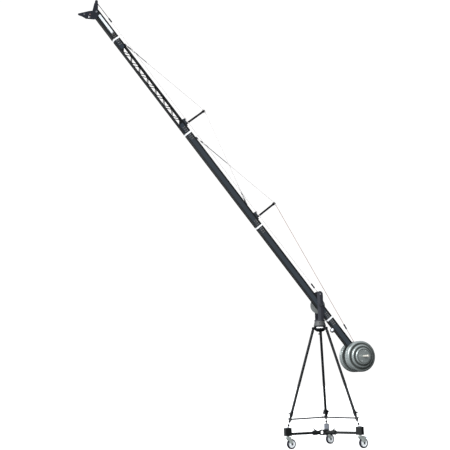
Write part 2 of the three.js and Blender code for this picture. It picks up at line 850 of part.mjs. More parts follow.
// Pan base: a cast cone with a rim, a bearing bore above and the tie-down hole below
function panBase() {
  const bottom = crownTop + gap;
  const tieTop = crownTop + tieBoltEngagement + gap;
  const spindleBottom = yokeDiscBottom - spindleLength - gap;
  const cone = turnedZ([
    [0, tieTop], [tieBoltRadius + turnGap, tieTop], [tieBoltRadius + turnGap, bottom],
    [panBaseRadius, bottom], [panBaseRadius, bottom + panBaseRim], [panBaseTopRadius, panBaseTop],
    [spindleRadius + gap, panBaseTop], [spindleRadius + gap, spindleBottom], [0, spindleBottom]
  ]);
  const screwHeight = (bottom + panBaseRim + panBaseTop) / 2;
  const screw = barX(panScrewRadius, panBaseTopRadius - panScrewDepth / 2, panBaseRadius + overrun);
  const placed = screw.translate([0, 0, screwHeight]).rotate([0, 0, panScrewAngle]);
  return piece('pan_base', cone.subtract(placed), castGrey);
}

// Yoke: a turning disc on a spindle, with two round-topped plates that hold the tilt axle.
// The near plate has a flange towards the tip, bevelled on its outer face.
function yoke() {
  const discBottom = yokeDiscBottom - pivotHeight;
  const discTop = discBottom + yokeDiscHeight;
  const foot = discTop - weldDepth;
  const half = yokePlateWidth / 2;
  const farShape = new THREE.Shape();
  farShape.moveTo(-half, foot);
  farShape.lineTo(half, foot);
  farShape.lineTo(half, leverHeight);
  farShape.absarc(0, leverHeight, half, 0, Math.PI);
  const nearShape = new THREE.Shape();
  nearShape.moveTo(-yokeFlangeReach, foot);
  nearShape.lineTo(half, foot);
  nearShape.lineTo(half, leverHeight);
  nearShape.absarc(0, leverHeight, half, 0, 3 * Math.PI / 4);
  nearShape.lineTo(-yokeFlangeReach, leverHeight + yokeFlangeRise);
  const inner = yokeInside / 2;
  const bevelRun = yokeFlangeReach - yokeBevelStart;
  const bevel = outline([
    [-yokeBevelStart, -yokePlateOuter],
    [-yokeBevelStart - 2 * bevelRun, -yokePlateOuter + 2 * yokeBevelDepth],
    [-yokeBevelStart - 2 * bevelRun, -yokePlateOuter - overrun],
    [-yokeBevelStart, -yokePlateOuter - overrun]
  ]);
  const bevelTool = plateZ(bevel, foot - overrun, leverHeight + yokePlateWidth);
  const parts = [
    barZ(yokeDiscRadius, discBottom, discTop, 0, 0, roundSides),
    barZ(spindleRadius, discBottom - spindleLength, discBottom + weldDepth, 0, 0, roundSides),
    plateY(farShape, inner, yokePlateOuter),
    plateY(nearShape, -yokePlateOuter, -inner).subtract(bevelTool)
  ];
  const reach = yokePlateOuter + overrun;
  const bores = [
    barY(tiltAxleRadius + turnGap, -reach, reach),
    barY(levelPinRadius + gap, -reach, reach, 0, leverHeight)
  ];
  return piece('yoke', cut(joined(parts), bores), blackPaint);
}

// Tilt axle: a shaft through the yoke and the arm, with a hexagonal head on the near side
function tiltAxle() {
  const face = yokePlateOuter + gap;
  const head = barY(tiltHeadRadius, -face - tiltHeadLength, -face, 0, 0, hexSides);
  const shaft = barY(tiltAxleRadius, -face - weldDepth, tiltEndReach);
  return piece('tilt_axle', shaft.add(head), brightSteel);
}

// Levelling pin: fixed in the yoke, with collars that keep the wire's eye in its plane
function levellingPin() {
  const inner = yokeInside / 2 - gap;
  const face = yokePlateOuter + gap;
  const eyeNear = levelWireSide - levelEyeThickness / 2 - gap;
  const eyeFar = levelWireSide + levelEyeThickness / 2 + gap;
  const pin = piece('levelling_pin', joined([
    barY(levelPinRadius, -face - levelPinHeadLength, face + levelPinHeadLength),
    barY(levelPinHead, -face - levelPinHeadLength, -face, 0, 0, hexSides),
    barY(levelPinHead, face, face + levelPinHeadLength, 0, 0, hexSides),
    barY(levelPinCollar, -inner, eyeNear, 0, 0, rodSides),
    barY(levelPinCollar, eyeFar, inner, 0, 0, rodSides)
  ]), brightSteel);
  pin.position.z = leverHeight;
  return pin;
}

// Tilt lock knob: a lobed grip on the far end of the tilt axle
function tiltLockKnob() {
  const start = yokePlateOuter + gap;
  const gripStart = start + lockKnobShankLength;
  const points = [];
  const steps = lockKnobLobes * lobeSteps;
  for (let step = 0; step < steps; step += 1) {
    const angle = 2 * Math.PI * step / steps;
    const radius = lockKnobRadius * (1 - lockKnobLobeShare * (1 - Math.cos(lockKnobLobes * angle)));
    points.push([radius * Math.cos(angle), radius * Math.sin(angle)]);
  }
  const body = plateY(outline(points), gripStart, gripStart + lockKnobThickness)
    .add(barY(lockKnobShank, start, gripStart + weldDepth));
  const bore = barY(tiltAxleRadius + turnGap, 0, gripStart + lockKnobThickness + overrun);
  return piece('tilt_lock_knob', body.subtract(bore), knobBlack);
}

// Brake disc on the arm's far side, round the tilt axle
function brakeDisc() {
  const start = armSide + gap;
  const disc = barY(brakeDiscRadius, start, start + brakeDiscThickness, 0, 0, roundSides);
  const bore = barY(tiltAxleRadius + turnGap, 0, start + brakeDiscThickness + overrun);
  return piece('tilt_brake_disc', disc.subtract(bore), castGrey);
}

// Lug welded on the arm's top, with the pin of a stay
function lug(reach, side) {
  const shape = new THREE.Shape();
  shape.moveTo(-lugFoot, armTop - weldDepth);
  shape.lineTo(lugFoot, armTop - weldDepth);
  shape.lineTo(lugEyeRadius, lugPinHeight);
  shape.absarc(0, lugPinHeight, lugEyeRadius, 0, Math.PI);
  const half = lugThickness / 2;
  const pinEnd = half + lugPinProud;
  const plate = plateY(shape, side - half, side + half).translate([-reach, 0, 0]);
  return plate.add(barY(lugPinRadius, side - pinEnd, side + pinEnd, -reach, lugPinHeight, rodSides));
}

// Arm tube between two places, with the room that the joint bands need at its ends
function sectionTube(from, to) {
  return boxTube(from, to, armWidth, armHeight, armWall, armCorner);
}

function rearSection() {
  const tube = sectionTube(rearEnd, jointReach[0] - bandRoom);
  const endWall = block(-rearEnd - armWall, -rearEnd, -armSide + weldDepth, armSide - weldDepth,
    -armTop + weldDepth, armTop - weldDepth);
  const bore = barY(barRadius + gap, -armSide - overrun, armSide + overrun, -barReach, -barDrop);
  const solid = joined([tube, endWall, lug(rearAftAnchor, 0)]).subtract(bore);
  return piece('arm_section_rear', solid, armGrey);
}

// Pivot section: a sleeve and a side boss carry it on the tilt axle
function pivotSection() {
  const tube = sectionTube(jointReach[0] + bandRoom, jointReach[1] - bandRoom);
  const sleeve = barY(pivotSleeveRadius, -armSide + weldDepth, armSide - weldDepth);
  const boss = barY(pivotBossRadius, -yokeInside / 2 + gap, -armSide + weldDepth);
  const bore = barY(tiltAxleRadius + turnGap, -yokeInside, yokeInside);
  return piece('arm_section_pivot', joined([tube, sleeve, boss]).subtract(bore), armGrey);
}

function middleSection() {
  const tube = sectionTube(jointReach[1] + bandRoom, jointReach[2] - bandRoom);
  const lugs = [lug(frontAftAnchor, stayCrossing), lug(rearForeAnchor, -stayCrossing)];
  return piece('arm_section_middle', joined([tube, ...lugs]), armGrey);
}

// A triangle drawn in about its incentre, with rounded corners
function windowShape(corners) {
  const next = (index, steps) => corners[(index + steps) % 3];
  const side = corners.map((corner, index) => next(index, 1).distanceTo(next(index, 2)));
  const around = side[0] + side[1] + side[2];
  const centre = new THREE.Vector2();
  corners.forEach((corner, index) => centre.addScaledVector(corner, side[index] / around));
  const drawn = corners.map((corner) => corner.clone().lerp(centre, 1 - latticeShrinkShare));
  const shape = new THREE.Shape();
  drawn.forEach((corner, index) => {
    const before = corner.clone().lerp(drawn[(index + 2) % 3], latticeCornerShare);
    const after = corner.clone().lerp(drawn[(index + 1) % 3], latticeCornerShare);
    if (index === 0) shape.moveTo(before.x, before.y);
    else shape.lineTo(before.x, before.y);
    shape.quadraticCurveTo(corner.x, corner.y, after.x, after.y);
  });
  return shape;
}

// Lattice section: a zig-zag of struts is left between triangular windows in both side walls
function latticeSection() {
  const tube = sectionTube(jointReach[2] + bandRoom, jointReach[3] - bandRoom);
  const first = jointReach[2] + latticeRearMargin;
  const last = jointReach[3] - latticeFrontMargin;
  const pitch = 2 * (last - first) / (latticeWindows + 1);
  const halfHeight = armTop - latticeChord;
  const windows = [];
  for (let index = 0; index < latticeWindows; index += 1) {
    const side = index % 2 === 0 ? -halfHeight : halfHeight;
    const start = first + index * pitch / 2;
    const corners = [
      new THREE.Vector2(-start, side),
      new THREE.Vector2(-start - pitch, side),
      new THREE.Vector2(-start - pitch / 2, -side)
    ];
    windows.push(plateY(windowShape(corners), -armSide - overrun, armSide + overrun, windowSegments));
  }
  const solid = cut(tube, windows).add(lug(frontForeAnchor, 0));
  return piece('arm_section_lattice', solid, armGrey);
}

// Tip section: round-ended side walls, with a sleeve for the head's hinge pin
function tipSection() {
  const nose = new THREE.Shape();
  const start = jointReach[3];
  nose.moveTo(-start, armTop);
  nose.lineTo(-hingeReach, armTop);
  nose.absarc(-hingeReach, 0, armTop, Math.PI / 2, 3 * Math.PI / 2);
  nose.lineTo(-start, -armTop);
  const tube = sectionTube(start + bandRoom, hingeReach + armTop + overrun)
    .intersect(plateY(nose, -armWidth, armWidth));
  const sleeve = barY(hingeSleeveRadius, -armSide + weldDepth, armSide - weldDepth, -hingeReach, 0);
  const bore = barY(hingePinRadius + turnGap, -armWidth, armWidth, -hingeReach, 0);
  return piece('arm_section_tip', tube.add(sleeve).subtract(bore), armGrey);
}

// Joint splice: a sleeve inside two sections, with a band that shows between them
function splice(name, reach) {
  const innerWidth = armWidth - 2 * (armWall + gap);
  const innerHeight = armHeight - 2 * (armWall + gap);
  const sleeve = boxTube(reach - sleeveLength / 2, reach + sleeveLength / 2,
    innerWidth, innerHeight, sleeveWall, sleeveCorner);
  const wall = armWall + gap + sleeveWall + bandProud;
  const band = boxTube(reach - bandLength / 2, reach + bandLength / 2,
    armWidth + 2 * bandProud, armHeight + 2 * bandProud, wall, armCorner);
  return piece(name, sleeve.add(band), castGrey);
}

// King post: a stepped base, a square post, and a head plate with a pin for each stay
function kingPost(name, reach) {
  const foot = armTop + gap;
  const headBottom = postPinHeight - postHeadDepth;
  const postEnd = postPinHeight - postShoulderDrop;
  const knob = solidOf(new THREE.SphereGeometry(postKnobRadius, rodSides, smallBallRings));
  const head = new THREE.Shape();
  head.moveTo(-postWidth / 2, headBottom);
  head.lineTo(postWidth / 2, headBottom);
  head.lineTo(postPinSpread + postHeadRadius, postPinHeight);
  head.absarc(postPinSpread, postPinHeight, postHeadRadius, 0, Math.PI / 2);
  head.absarc(-postPinSpread, postPinHeight, postHeadRadius, Math.PI / 2, Math.PI);
  const half = postWidth / 2;
  const headHalf = lugThickness / 2;
  const pinEnd = headHalf + lugPinProud;
  const parts = [
    block(-postBaseFront, postBaseBack, -postBaseWidth / 2, postBaseWidth / 2, foot, armTop + postBaseRise),
    block(-postBlockLength / 2, postBlockLength / 2, -postBlockWidth / 2, postBlockWidth / 2,
      foot, armTop + postBlockRise),
    block(-half, half, -half, half, foot, postEnd),
    plateY(head, -headHalf, headHalf, eyeSegments),
    barY(lugPinRadius, -pinEnd, pinEnd, -postPinSpread, postPinHeight, rodSides),
    barY(lugPinRadius, -pinEnd, pinEnd, postPinSpread, postPinHeight, rodSides),
    barZ(postKnobStem, foot, postKnobHeight, -postKnobReach, 0, rodSides),
    knob.translate([-postKnobReach, 0, postKnobHeight])
  ];
  const post = piece(name, joined(parts), darkPaint);
  post.position.x = -reach;
  return post;
}

// Clevis: two ears with a bore each, round a pin at the origin, facing along +x
function clevis() {
  const ear = new THREE.Shape();
  ear.moveTo(0, -clevisEyeRadius);
  ear.lineTo(clevisLength, -clevisEyeRadius);
  ear.lineTo(clevisLength, clevisEyeRadius);
  ear.lineTo(0, clevisEyeRadius);
  ear.absarc(0, 0, clevisEyeRadius, Math.PI / 2, 3 * Math.PI / 2);
  const body = plateY(ear, -clevisOuter, clevisOuter, eyeSegments);
  const slot = block(-clevisEyeRadius - overrun, clevisThroat, -clevisInner, clevisInner, -overrun, overrun);
  return cut(body, [slot, barY(lugPinRadius + turnGap, -overrun, overrun, 0, 0, rodSides)]);
}

// Open turnbuckle with the ends of its two rods in its window, from start along +x
function turnbuckle(start, length, radius) {
  const end = start + length;
  const windowHalf = buckleWindow / 2;
  const body = barX(radius, start, end, 0, 0, rodSides);
  const window = block(start + buckleEnd, end - buckleEnd, -overrun, overrun, -windowHalf, windowHalf);
  return joined([
    body.subtract(window),
    barX(buckleRodRadius, start, start + length * buckleRodShare, 0, 0, wireSides),
    barX(buckleRodRadius, end - length * buckleRodShare, end, 0, 0, wireSides)
  ]);
}

// Sets a mesh at one point with its +x axis towards another
function aimed(mesh, from, to) {
  const along = to.clone().sub(from).normalize();
  const across = new THREE.Vector3(0, 1, 0).addScaledVector(along, -along.y).normalize();
  const up = along.clone().cross(across);
  mesh.quaternion.setFromRotationMatrix(new THREE.Matrix4().makeBasis(along, across, up));
  mesh.position.copy(from);
  return mesh;
}

// Stay: a wire from a lug on the arm to a king post's head, tightened by a turnbuckle
function stay(name, anchor, side, postReach, buckleStart, buckleLength, connectorStart, connectorLength) {
  const from = new THREE.Vector3(-anchor, side, lugPinHeight);
  const towards = Math.sign(anchor - postReach);
  const to = new THREE.Vector3(-postReach - towards * postPinSpread, 0, postPinHeight);
  const length = from.distanceTo(to);
  const buckleEndPlace = buckleStart + buckleLength;
  const wireEnd = length - clevisLength + weldDepth;
  const farClevis = clevis().rotate([0, 0, 180]).translate([length, 0, 0]);
  const parts = [
    clevis(),
    barX(buckleRodRadius, clevisLength - weldDepth, buckleStart + weldDepth, 0, 0, wireSides),
    turnbuckle(buckleStart, buckleLength, buckleRadius),
    barX(wireRadius, buckleEndPlace - weldDepth, wireEnd, 0, 0, wireSides),
    farClevis
  ];
  if (connectorLength > 0) {
    parts.push(barX(connectorRadius, connectorStart, connectorStart + connectorLength, 0, 0, wireSides));
  }
  return aimed(piece(name, joined(parts), brightSteel), from, to);
}

// Levelling wire: an eye on the yoke's pin, two turnbuckles, and an eye on the head's upper pin
function levellingWire() {
  const eyeHalf = levelEyeThickness / 2;
  const rearEndPlace = levelRearBuckleStart + levelRearBuckleLength;
  const headBuckleStart = hingeReach - levelHeadBuckleBack;
  const headEndPlace = headBuckleStart + levelHeadBuckleLength;
  const headShankStart = hingeReach - levelShankLength;
  const parts = [
    barY(levelEyeRadius, -eyeHalf, eyeHalf),
    barX(levelShankRadius, 0, levelShankLength, 0, 0, wireSides),
    barX(buckleRodRadius, levelShankLength - weldDepth, levelRearBuckleStart + weldDepth, 0, 0, wireSides),
    turnbuckle(levelRearBuckleStart, levelRearBuckleLength, levelBuckleRadius),
    barX(levelWireRadius, rearEndPlace - weldDepth, headBuckleStart + weldDepth, 0, 0, wireSides),
    turnbuckle(headBuckleStart, levelHeadBuckleLength, levelBuckleRadius),
    barX(buckleRodRadius, headEndPlace - weldDepth, headShankStart + weldDepth, 0, 0, wireSides),
    barX(levelShankRadius, headShankStart, hingeReach, 0, 0, wireSides),
    barY(levelEyeRadius, -eyeHalf, eyeHalf, hingeReach, 0)
  ];
  const bores = [
    barY(levelPinRadius + gap, -overrun, overrun),
    barY(headPinRadius + openPivotClearance, -overrun, overrun, hingeReach, 0)
  ];
  const solid = cut(joined(parts), bores).rotate([0, 0, 180]);
  const wire = piece('levelling_wire', solid, brightSteel);
  wire.position.y = levelWireSide;
  return wire;
}

// Weight bar: a round bar across the arm with two stop collars
function weightBar() {
  const inner = armSide + gap;
  const collar = stopCollarEnd - gap;
  const solid = joined([
    barY(barRadius, -barLength / 2, barLength / 2),
    barY(stopCollarRadius, inner, collar),
    barY(stopCollarRadius, -collar, -inner)
  ]);
  const bar = piece('weight_bar', solid, brightSteel);
  bar.position.set(-barReach, 0, -barDrop);
  return bar;
}

// Plate weight: a web with a rim and a hub on its inner side, and a flat outer face with an eased edge
function plateWeight(name, start, side, radius, thickness, rim, hub, sides) {
  const bore = barRadius + gap;
  const web = thickness - plateWeb;
  const profile = [[bore, 0], [hub, 0], [hub, web], [radius - rim, web], [radius - rim, 0], [radius, 0],
    [radius, thickness - plateRimRound], [radius - plateRimRound, thickness], [bore, thickness], [bore, 0]];
  const solid = turned(profile, sides).rotate([side < 0 ? 180 : 0, 0, 0]);
  const weight = piece(name, solid, plateGrey);
  weight.position.set(-barReach, side * start, -barDrop);
  return weight;
}

// The stack of plates on both sides of the arm, from the stop collars outwards
function plateWeights() {
  const big = ['big', bigPlateRadius, bigPlateThickness, bigPlateRim, bigPlateHub, bigPlateSides];
  const medium = ['medium', mediumPlateRadius, mediumPlateThickness, mediumPlateRim, mediumPlateHub,
    mediumPlateSides];
  const small = ['small', smallPlateRadius, smallPlateThickness, smallPlateRim, smallPlateHub,
    smallPlateSides];
  const stack = [['inner', big], ['outer', big], ['', medium], ['', small]];
  const meshes = [];
  for (const [sideName, side] of [['near', -1], ['far', 1]]) {
    let start = stopCollarEnd;
    for (const [place, [sizeName, radius, thickness, rim, hub, sides]] of stack) {
      const name = ['weight', sizeName, place, sideName].filter((word) => word).join('_');
      meshes.push(plateWeight(name, start, side, radius, thickness, rim, hub, sides));
      start += thickness + gap;
    }
  }
  return meshes;
}

// Ball knob on a short stem under the arm
function ballKnob() {
  const top = -armTop - gap + ballDrop;
  const solid = joined([
    solidOf(new THREE.SphereGeometry(ballRadius, pinSides, ballRings)),
    barZ(ballStemRadius, 0, top),
    barZ(ballWasherRadius, top - ballWasherThickness, top)
  ]);
  const knob = piece('arm_ball_knob', solid, brightSteel);
  knob.position.set(-ballReach, ballSide, -ballDrop);
  return knob;
}

// Head bracket: two unlike cheeks held apart by spacers, with the upper pin of the levelling linkage
function headBracket() {
  const cheekTop = (shape) => {
    shape.moveTo(headChinReach, -headChinDrop);
    shape.lineTo(headFrontWidth, 0);
    shape.lineTo(headFrontWidth, headShoulder);
    shape.lineTo(headLobeRadius, leverHeight);
    shape.absarc(0, leverHeight, headLobeRadius, 0, Math.PI);
    shape.lineTo(-headNeckReach, headNeckRise);
    shape.quadraticCurveTo(-headNeckReach, headThroatRise, -headThroatReach, headThroatRise);
  };
  const noseTop = -headNoseDrop + headNoseHalf;
  const noseBottom = -headNoseDrop - headNoseHalf;
  const near = new THREE.Shape();
  cheekTop(near);
  near.lineTo(-headBrowReach, headBrowRise);
  near.lineTo(-headNoseBack, noseTop);
  near.quadraticCurveTo(-headNoseReach, noseTop, -headNoseReach, -headNoseDrop);
  near.quadraticCurveTo(-headNoseReach, noseBottom, -headNoseBack, noseBottom);
  near.lineTo(-headLipReach, -headLipDrop);
  near.lineTo(-headJawReach, -headJawDrop);
  near.lineTo(-headBottomReach, -headBottomDrop);
  near.lineTo(-headBottomBack, -headBottomDrop);
  const far = new THREE.Shape();
  cheekTop(far);
  far.lineTo(-farCheekReach, -farCheekBrowDrop);
  far.lineTo(-farCheekReach, -headPlateDrop);
  far.lineTo(-headPlateBack, -headPlateDrop);
  const inner = cheekInside / 2;
  const outer = inner + cheekThickness;
  const across = inner + weldDepth;
  const eyeNear = levelWireSide - levelEyeThickness / 2 - openPivotClearance;
  const eyeFar = levelWireSide + levelEyeThickness / 2 + openPivotClearance;
  const parts = [
    plateY(far, inner, outer),
    plateY(near, -outer, -inner),
    barY(headSpacerRadius, -across, across, -spacerFrontReach, -spacerFrontDrop, rodSides),
    barY(headSpacerRadius, -across, across, -spacerBackReach, -spacerBackDrop, rodSides),
    barY(headPinRadius, -across, across, 0, leverHeight),
    barY(headPinCollar, -across, eyeNear, 0, leverHeight, rodSides),
    barY(headPinCollar, eyeFar, across, 0, leverHeight, rodSides)
  ];
  const bore = barY(hingePinRadius + turnGap, -outer - overrun, outer + overrun);
  return piece('head_bracket', joined(parts).subtract(bore), darkPaint);
}

// Mounting plate between the cheeks, level at every tilt, with the camera head's bolt hole
function headMountingPlate() {
  const half = cheekInside / 2 - gap;
  const back = -headPlateBack;
  const front = back - headPlateLength;
  const bottom = -headPlateDrop;
  const plate = block(front, back, -half, half, bottom, bottom + headPlateThickness);
  const centre = (front + back) / 2;
  const hole = barZ(headPlateHole, bottom - overrun, bottom + headPlateThickness + gap, centre, 0);
  return piece('head_mounting_plate', plate.subtract(hole), darkPaint);
}

// Hinge pin of the head, with a head at each end
function headHingePin() {
  const face = cheekInside / 2 + cheekThickness + gap;
  const end = face + hingePinHeadLength;
  const pin = piece('head_hinge_pin', joined([
    barY(hingePinRadius, -end, end),
    barY(hingePinHead, -end, -face, 0, 0, hexSides),
    barY(hingePinHead, face, end, 0, 0, hexSides)
  ]), brightSteel);
  pin.position.x = -hingeReach;
  return pin;
}

// The four stays between the arm and its king posts
function stays() {
  return [
    stay('stay_front_fore', frontForeAnchor, 0, frontPostReach, frontForeBuckleStart,
      frontForeBuckleLength, frontForeConnectorStart, frontForeConnectorLength),
    stay('stay_front_aft', frontAftAnchor, stayCrossing, frontPostReach, frontAftBuckleStart,
      frontAftBuckleLength, 0, 0),
    stay('stay_rear_fore', rearForeAnchor, -stayCrossing, rearPostReach, rearForeBuckleStart,
      rearForeBuckleLength, rearForeConnectorStart, rearForeConnectorLength),
    stay('stay_rear_aft', rearAftAnchor, 0, rearPostReach, rearAftBuckleStart,
      rearAftBuckleLength, 0, 0)
  ];
}

// Dolly with its castors
function addDolly(crane) {
  crane.add(dollyHub());
  legNames.forEach((name, index) => {
    const angle = legAngles[index];
    crane.add(dollyArm(`dolly_arm_${name}`, angle));
    if (index < 2) crane.add(clampKnob(`clamp_knob_${name}`, angle));
    const castor = groupAt(footReach * Math.cos(angle), footReach * Math.sin(angle), 0, 'z',
      castorAngle * degree);
    castor.add(castorFork(`castor_fork_${name}`, name === 'right'));
    castor.add(castorWheel(`castor_wheel_${name}`));
    if (name === 'right') castor.add(castorBrake('castor_brake_right'));
    crane.add(castor);
  });
}

// Tripod with its spreader and the pan base
function addTripod(crane) {
  crane.add(tripodCrown(), tieDownKnob(), spreaderHub(), panBase());
  legNames.forEach((name, index) => {
    const angle = legAngles[index];
    const hinge = groupAt(0, 0, 0, 'z', angle);
    const leg = groupAt(legPivotReach, 0, legPivotHeight, 'y', -legLean);
    leg.add(upperLeg(`leg_upper_${name}`), lowerLeg(`leg_lower_${name}`));
    hinge.add(leg);
    crane.add(hinge, spreaderArm(`spreader_arm_${name}`, angle));
  });
}

// Arm with its rigging and weights, carried by the yoke
function buildArm() {
  const arm = groupAt(0, 0, 0, 'y', armElevation * degree);
  arm.add(rearSection(), pivotSection(), middleSection(), latticeSection(), tipSection());
  ['rear', 'middle', 'front', 'tip'].forEach((name, index) => {
    arm.add(splice(`joint_splice_${name}`, jointReach[index]));
  });
  arm.add(kingPost('king_post_front', frontPostReach), kingPost('king_post_rear', rearPostReach));
  arm.add(...stays(), weightBar(), ...plateWeights(), ballKnob(), brakeDisc(), headHingePin());
  const head = groupAt(-hingeReach, 0, 0, 'y', -armElevation * degree);
  head.add(headBracket(), headMountingPlate());
  arm.add(head);
  return arm;
}

// The whole crane, set with the middle of its footprint at the origin
function buildCrane() {
  const crane = new THREE.Group();
  addDolly(crane);
  addTripod(crane);
  const turntable = groupAt(0, 0, pivotHeight);
  turntable.add(yoke(), tiltAxle(), levellingPin(), tiltLockKnob(), buildArm());
  const link = groupAt(0, 0, leverHeight, 'y', armElevation * degree);
  link.add(levellingWire());
  turntable.add(link);
  crane.add(turntable);
  crane.updateMatrixWorld(true);
  const box = new THREE.Box3().setFromObject(crane, true);
  crane.position.set(-(box.min.x + box.max.x) / 2, -(box.min.y + box.max.y) / 2, -box.min.z);
  crane.updateMatrixWorld(true);
  return crane;
}

const crane = buildCrane();

export default crane;
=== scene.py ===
# Camera jib crane on a tripod and dolly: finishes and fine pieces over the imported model.
# Metres, +Z up. The arm rises towards -X, and its weights hang behind the pan axis.
import math

import bpy
from mathutils import Matrix, Vector


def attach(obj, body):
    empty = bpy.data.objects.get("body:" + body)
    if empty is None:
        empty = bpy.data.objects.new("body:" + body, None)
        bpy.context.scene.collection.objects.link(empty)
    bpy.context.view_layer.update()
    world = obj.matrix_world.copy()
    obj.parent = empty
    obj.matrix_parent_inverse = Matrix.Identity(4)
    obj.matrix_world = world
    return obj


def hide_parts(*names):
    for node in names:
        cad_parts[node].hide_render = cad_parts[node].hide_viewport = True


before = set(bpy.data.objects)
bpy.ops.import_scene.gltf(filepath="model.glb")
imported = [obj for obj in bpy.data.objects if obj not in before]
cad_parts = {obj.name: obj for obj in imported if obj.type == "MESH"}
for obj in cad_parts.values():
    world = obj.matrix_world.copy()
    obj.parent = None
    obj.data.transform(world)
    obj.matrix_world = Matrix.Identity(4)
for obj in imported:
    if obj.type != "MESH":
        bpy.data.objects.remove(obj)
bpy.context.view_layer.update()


# Camera: a long lens set low, to the left of the crane and in front of it, looking up along the arm.
lens_mm = 68.58
sensor_mm = 36.0
camera_place = (-3.3123, -10.4030, 0.8920)
heading, pitch, roll = (math.radians(angle) for angle in (-17.51, 10.17, -1.58))
level = math.radians(90)

bpy.ops.object.camera_add()
camera = bpy.context.object
camera.name = "photo_camera"
camera.matrix_world = (
    Matrix.Translation(camera_place) @ Matrix.Rotation(heading, 4, "Z")
    @ Matrix.Rotation(level + pitch, 4, "X") @ Matrix.Rotation(roll, 4, "Z")
)
camera.data.lens = lens_mm
camera.data.sensor_width = sensor_mm
camera.data.clip_end = 200
bpy.context.scene.camera = camera


# Studio: a wide pale floor, and a white surround that lights more from above and from the left.
# A broad key light stands to the left, and a second one between it and the camera.
def tuned(node, values):
    """Sets values on a node's sockets."""
    for socket, value in dict(values).items():
        node.inputs[socket].default_value = value
    return node


def added(tree, kind, values=(), **settings):
    """A new shader node with its settings and the values on its sockets."""
    node = tree.nodes.new("ShaderNode" + kind)
    for setting, value in settings.items():
        setattr(node, setting, value)
    return tuned(node, values)


def wired(tree, *links):
    """Links nodes, each link given as node, output, node, input."""
    for source, output, target, socket in links:
        tree.links.new(source.outputs[output], target.inputs[socket])


floor_radius = 70
sky_side = (-0.80, -0.12, 0.58)
sky_range = {"From Min": -0.7, "From Max": 1.0, "To Min": 0.02, "To Max": 1.5}
sky_colour = (0.94, 0.97, 1, 1)
seen_strength = 1.05

bpy.context.scene.view_settings.view_transform = "Standard"
bpy.ops.mesh.primitive_circle_add(vertices=96, radius=floor_radius, fill_type="NGON", location=(0, 0, 0))
floor = bpy.context.object
floor.name = "studio_floor"
floor.visible_diffuse = False
floor.visible_glossy = False
pale = bpy.data.materials.new("pale_floor")
pale.use_nodes = True
pale_tree = pale.node_tree
pale_shader = tuned(pale_tree.nodes["Principled BSDF"], {
    "Roughness": 0.9, "Specular IOR Level": 0.1, "Emission Color": (1, 1, 1, 1), "Emission Strength": 0.3,
})
pale_noise = added(pale_tree, "TexNoise", {"Scale": 0.8})
pale_ramp = added(pale_tree, "ValToRGB")
pale_ramp.color_ramp.elements[0].color = (0.95, 0.95, 0.95, 1)
pale_ramp.color_ramp.elements[1].color = (0.98, 0.98, 0.98, 1)
wired(pale_tree, (pale_noise, "Fac", pale_ramp, "Fac"), (pale_ramp, "Color", pale_shader, "Base Color"))
floor.data.materials.append(pale)

surround = bpy.data.worlds.new("white_surround")
bpy.context.scene.world = surround
surround.use_nodes = True
world_tree = surround.node_tree
seen = tuned(world_tree.nodes["Background"], {"Color": (1, 1, 1, 1), "Strength": seen_strength})
world_place = added(world_tree, "TexCoord")
world_side = added(world_tree, "VectorMath", {1: sky_side}, operation="DOT_PRODUCT")
sky_strength = added(world_tree, "MapRange", sky_range, interpolation_type="SMOOTHSTEP")
fill = added(world_tree, "Background", {"Color": sky_colour})
ray = added(world_tree, "LightPath")
either = added(world_tree, "MixShader")
wired(
    world_tree,
    (world_place, "Generated", world_side, 0), (world_side, "Value", sky_strength, "Value"),
    (sky_strength, "Result", fill, "Strength"), (ray, "Is Camera Ray", either, "Fac"),
    (fill, "Background", either, 1), (seen, "Background", either, 2),
    (either, "Shader", world_tree.nodes["World Output"], "Surface"),
)

for light_name, strength, height, bearing, spread_angle in (
    ("key_light", 1.3, 36, 188, 26),
    ("front_light", 2.4, 26, 224, 40),
):
    bpy.ops.object.light_add(type="SUN")
    lamp = bpy.context.object
    lamp.name = light_name
    lamp.data.energy = strength
    lamp.data.angle = math.radians(spread_angle)
    rise, side_angle = math.radians(height), math.radians(bearing)
    towards = Vector((
        math.cos(side_angle) * math.cos(rise), math.sin(side_angle) * math.cos(rise), math.sin(rise),
    ))
    lamp.rotation_mode = "QUATERNION"
    lamp.rotation_quaternion = towards.to_track_quat("Z", "Y")


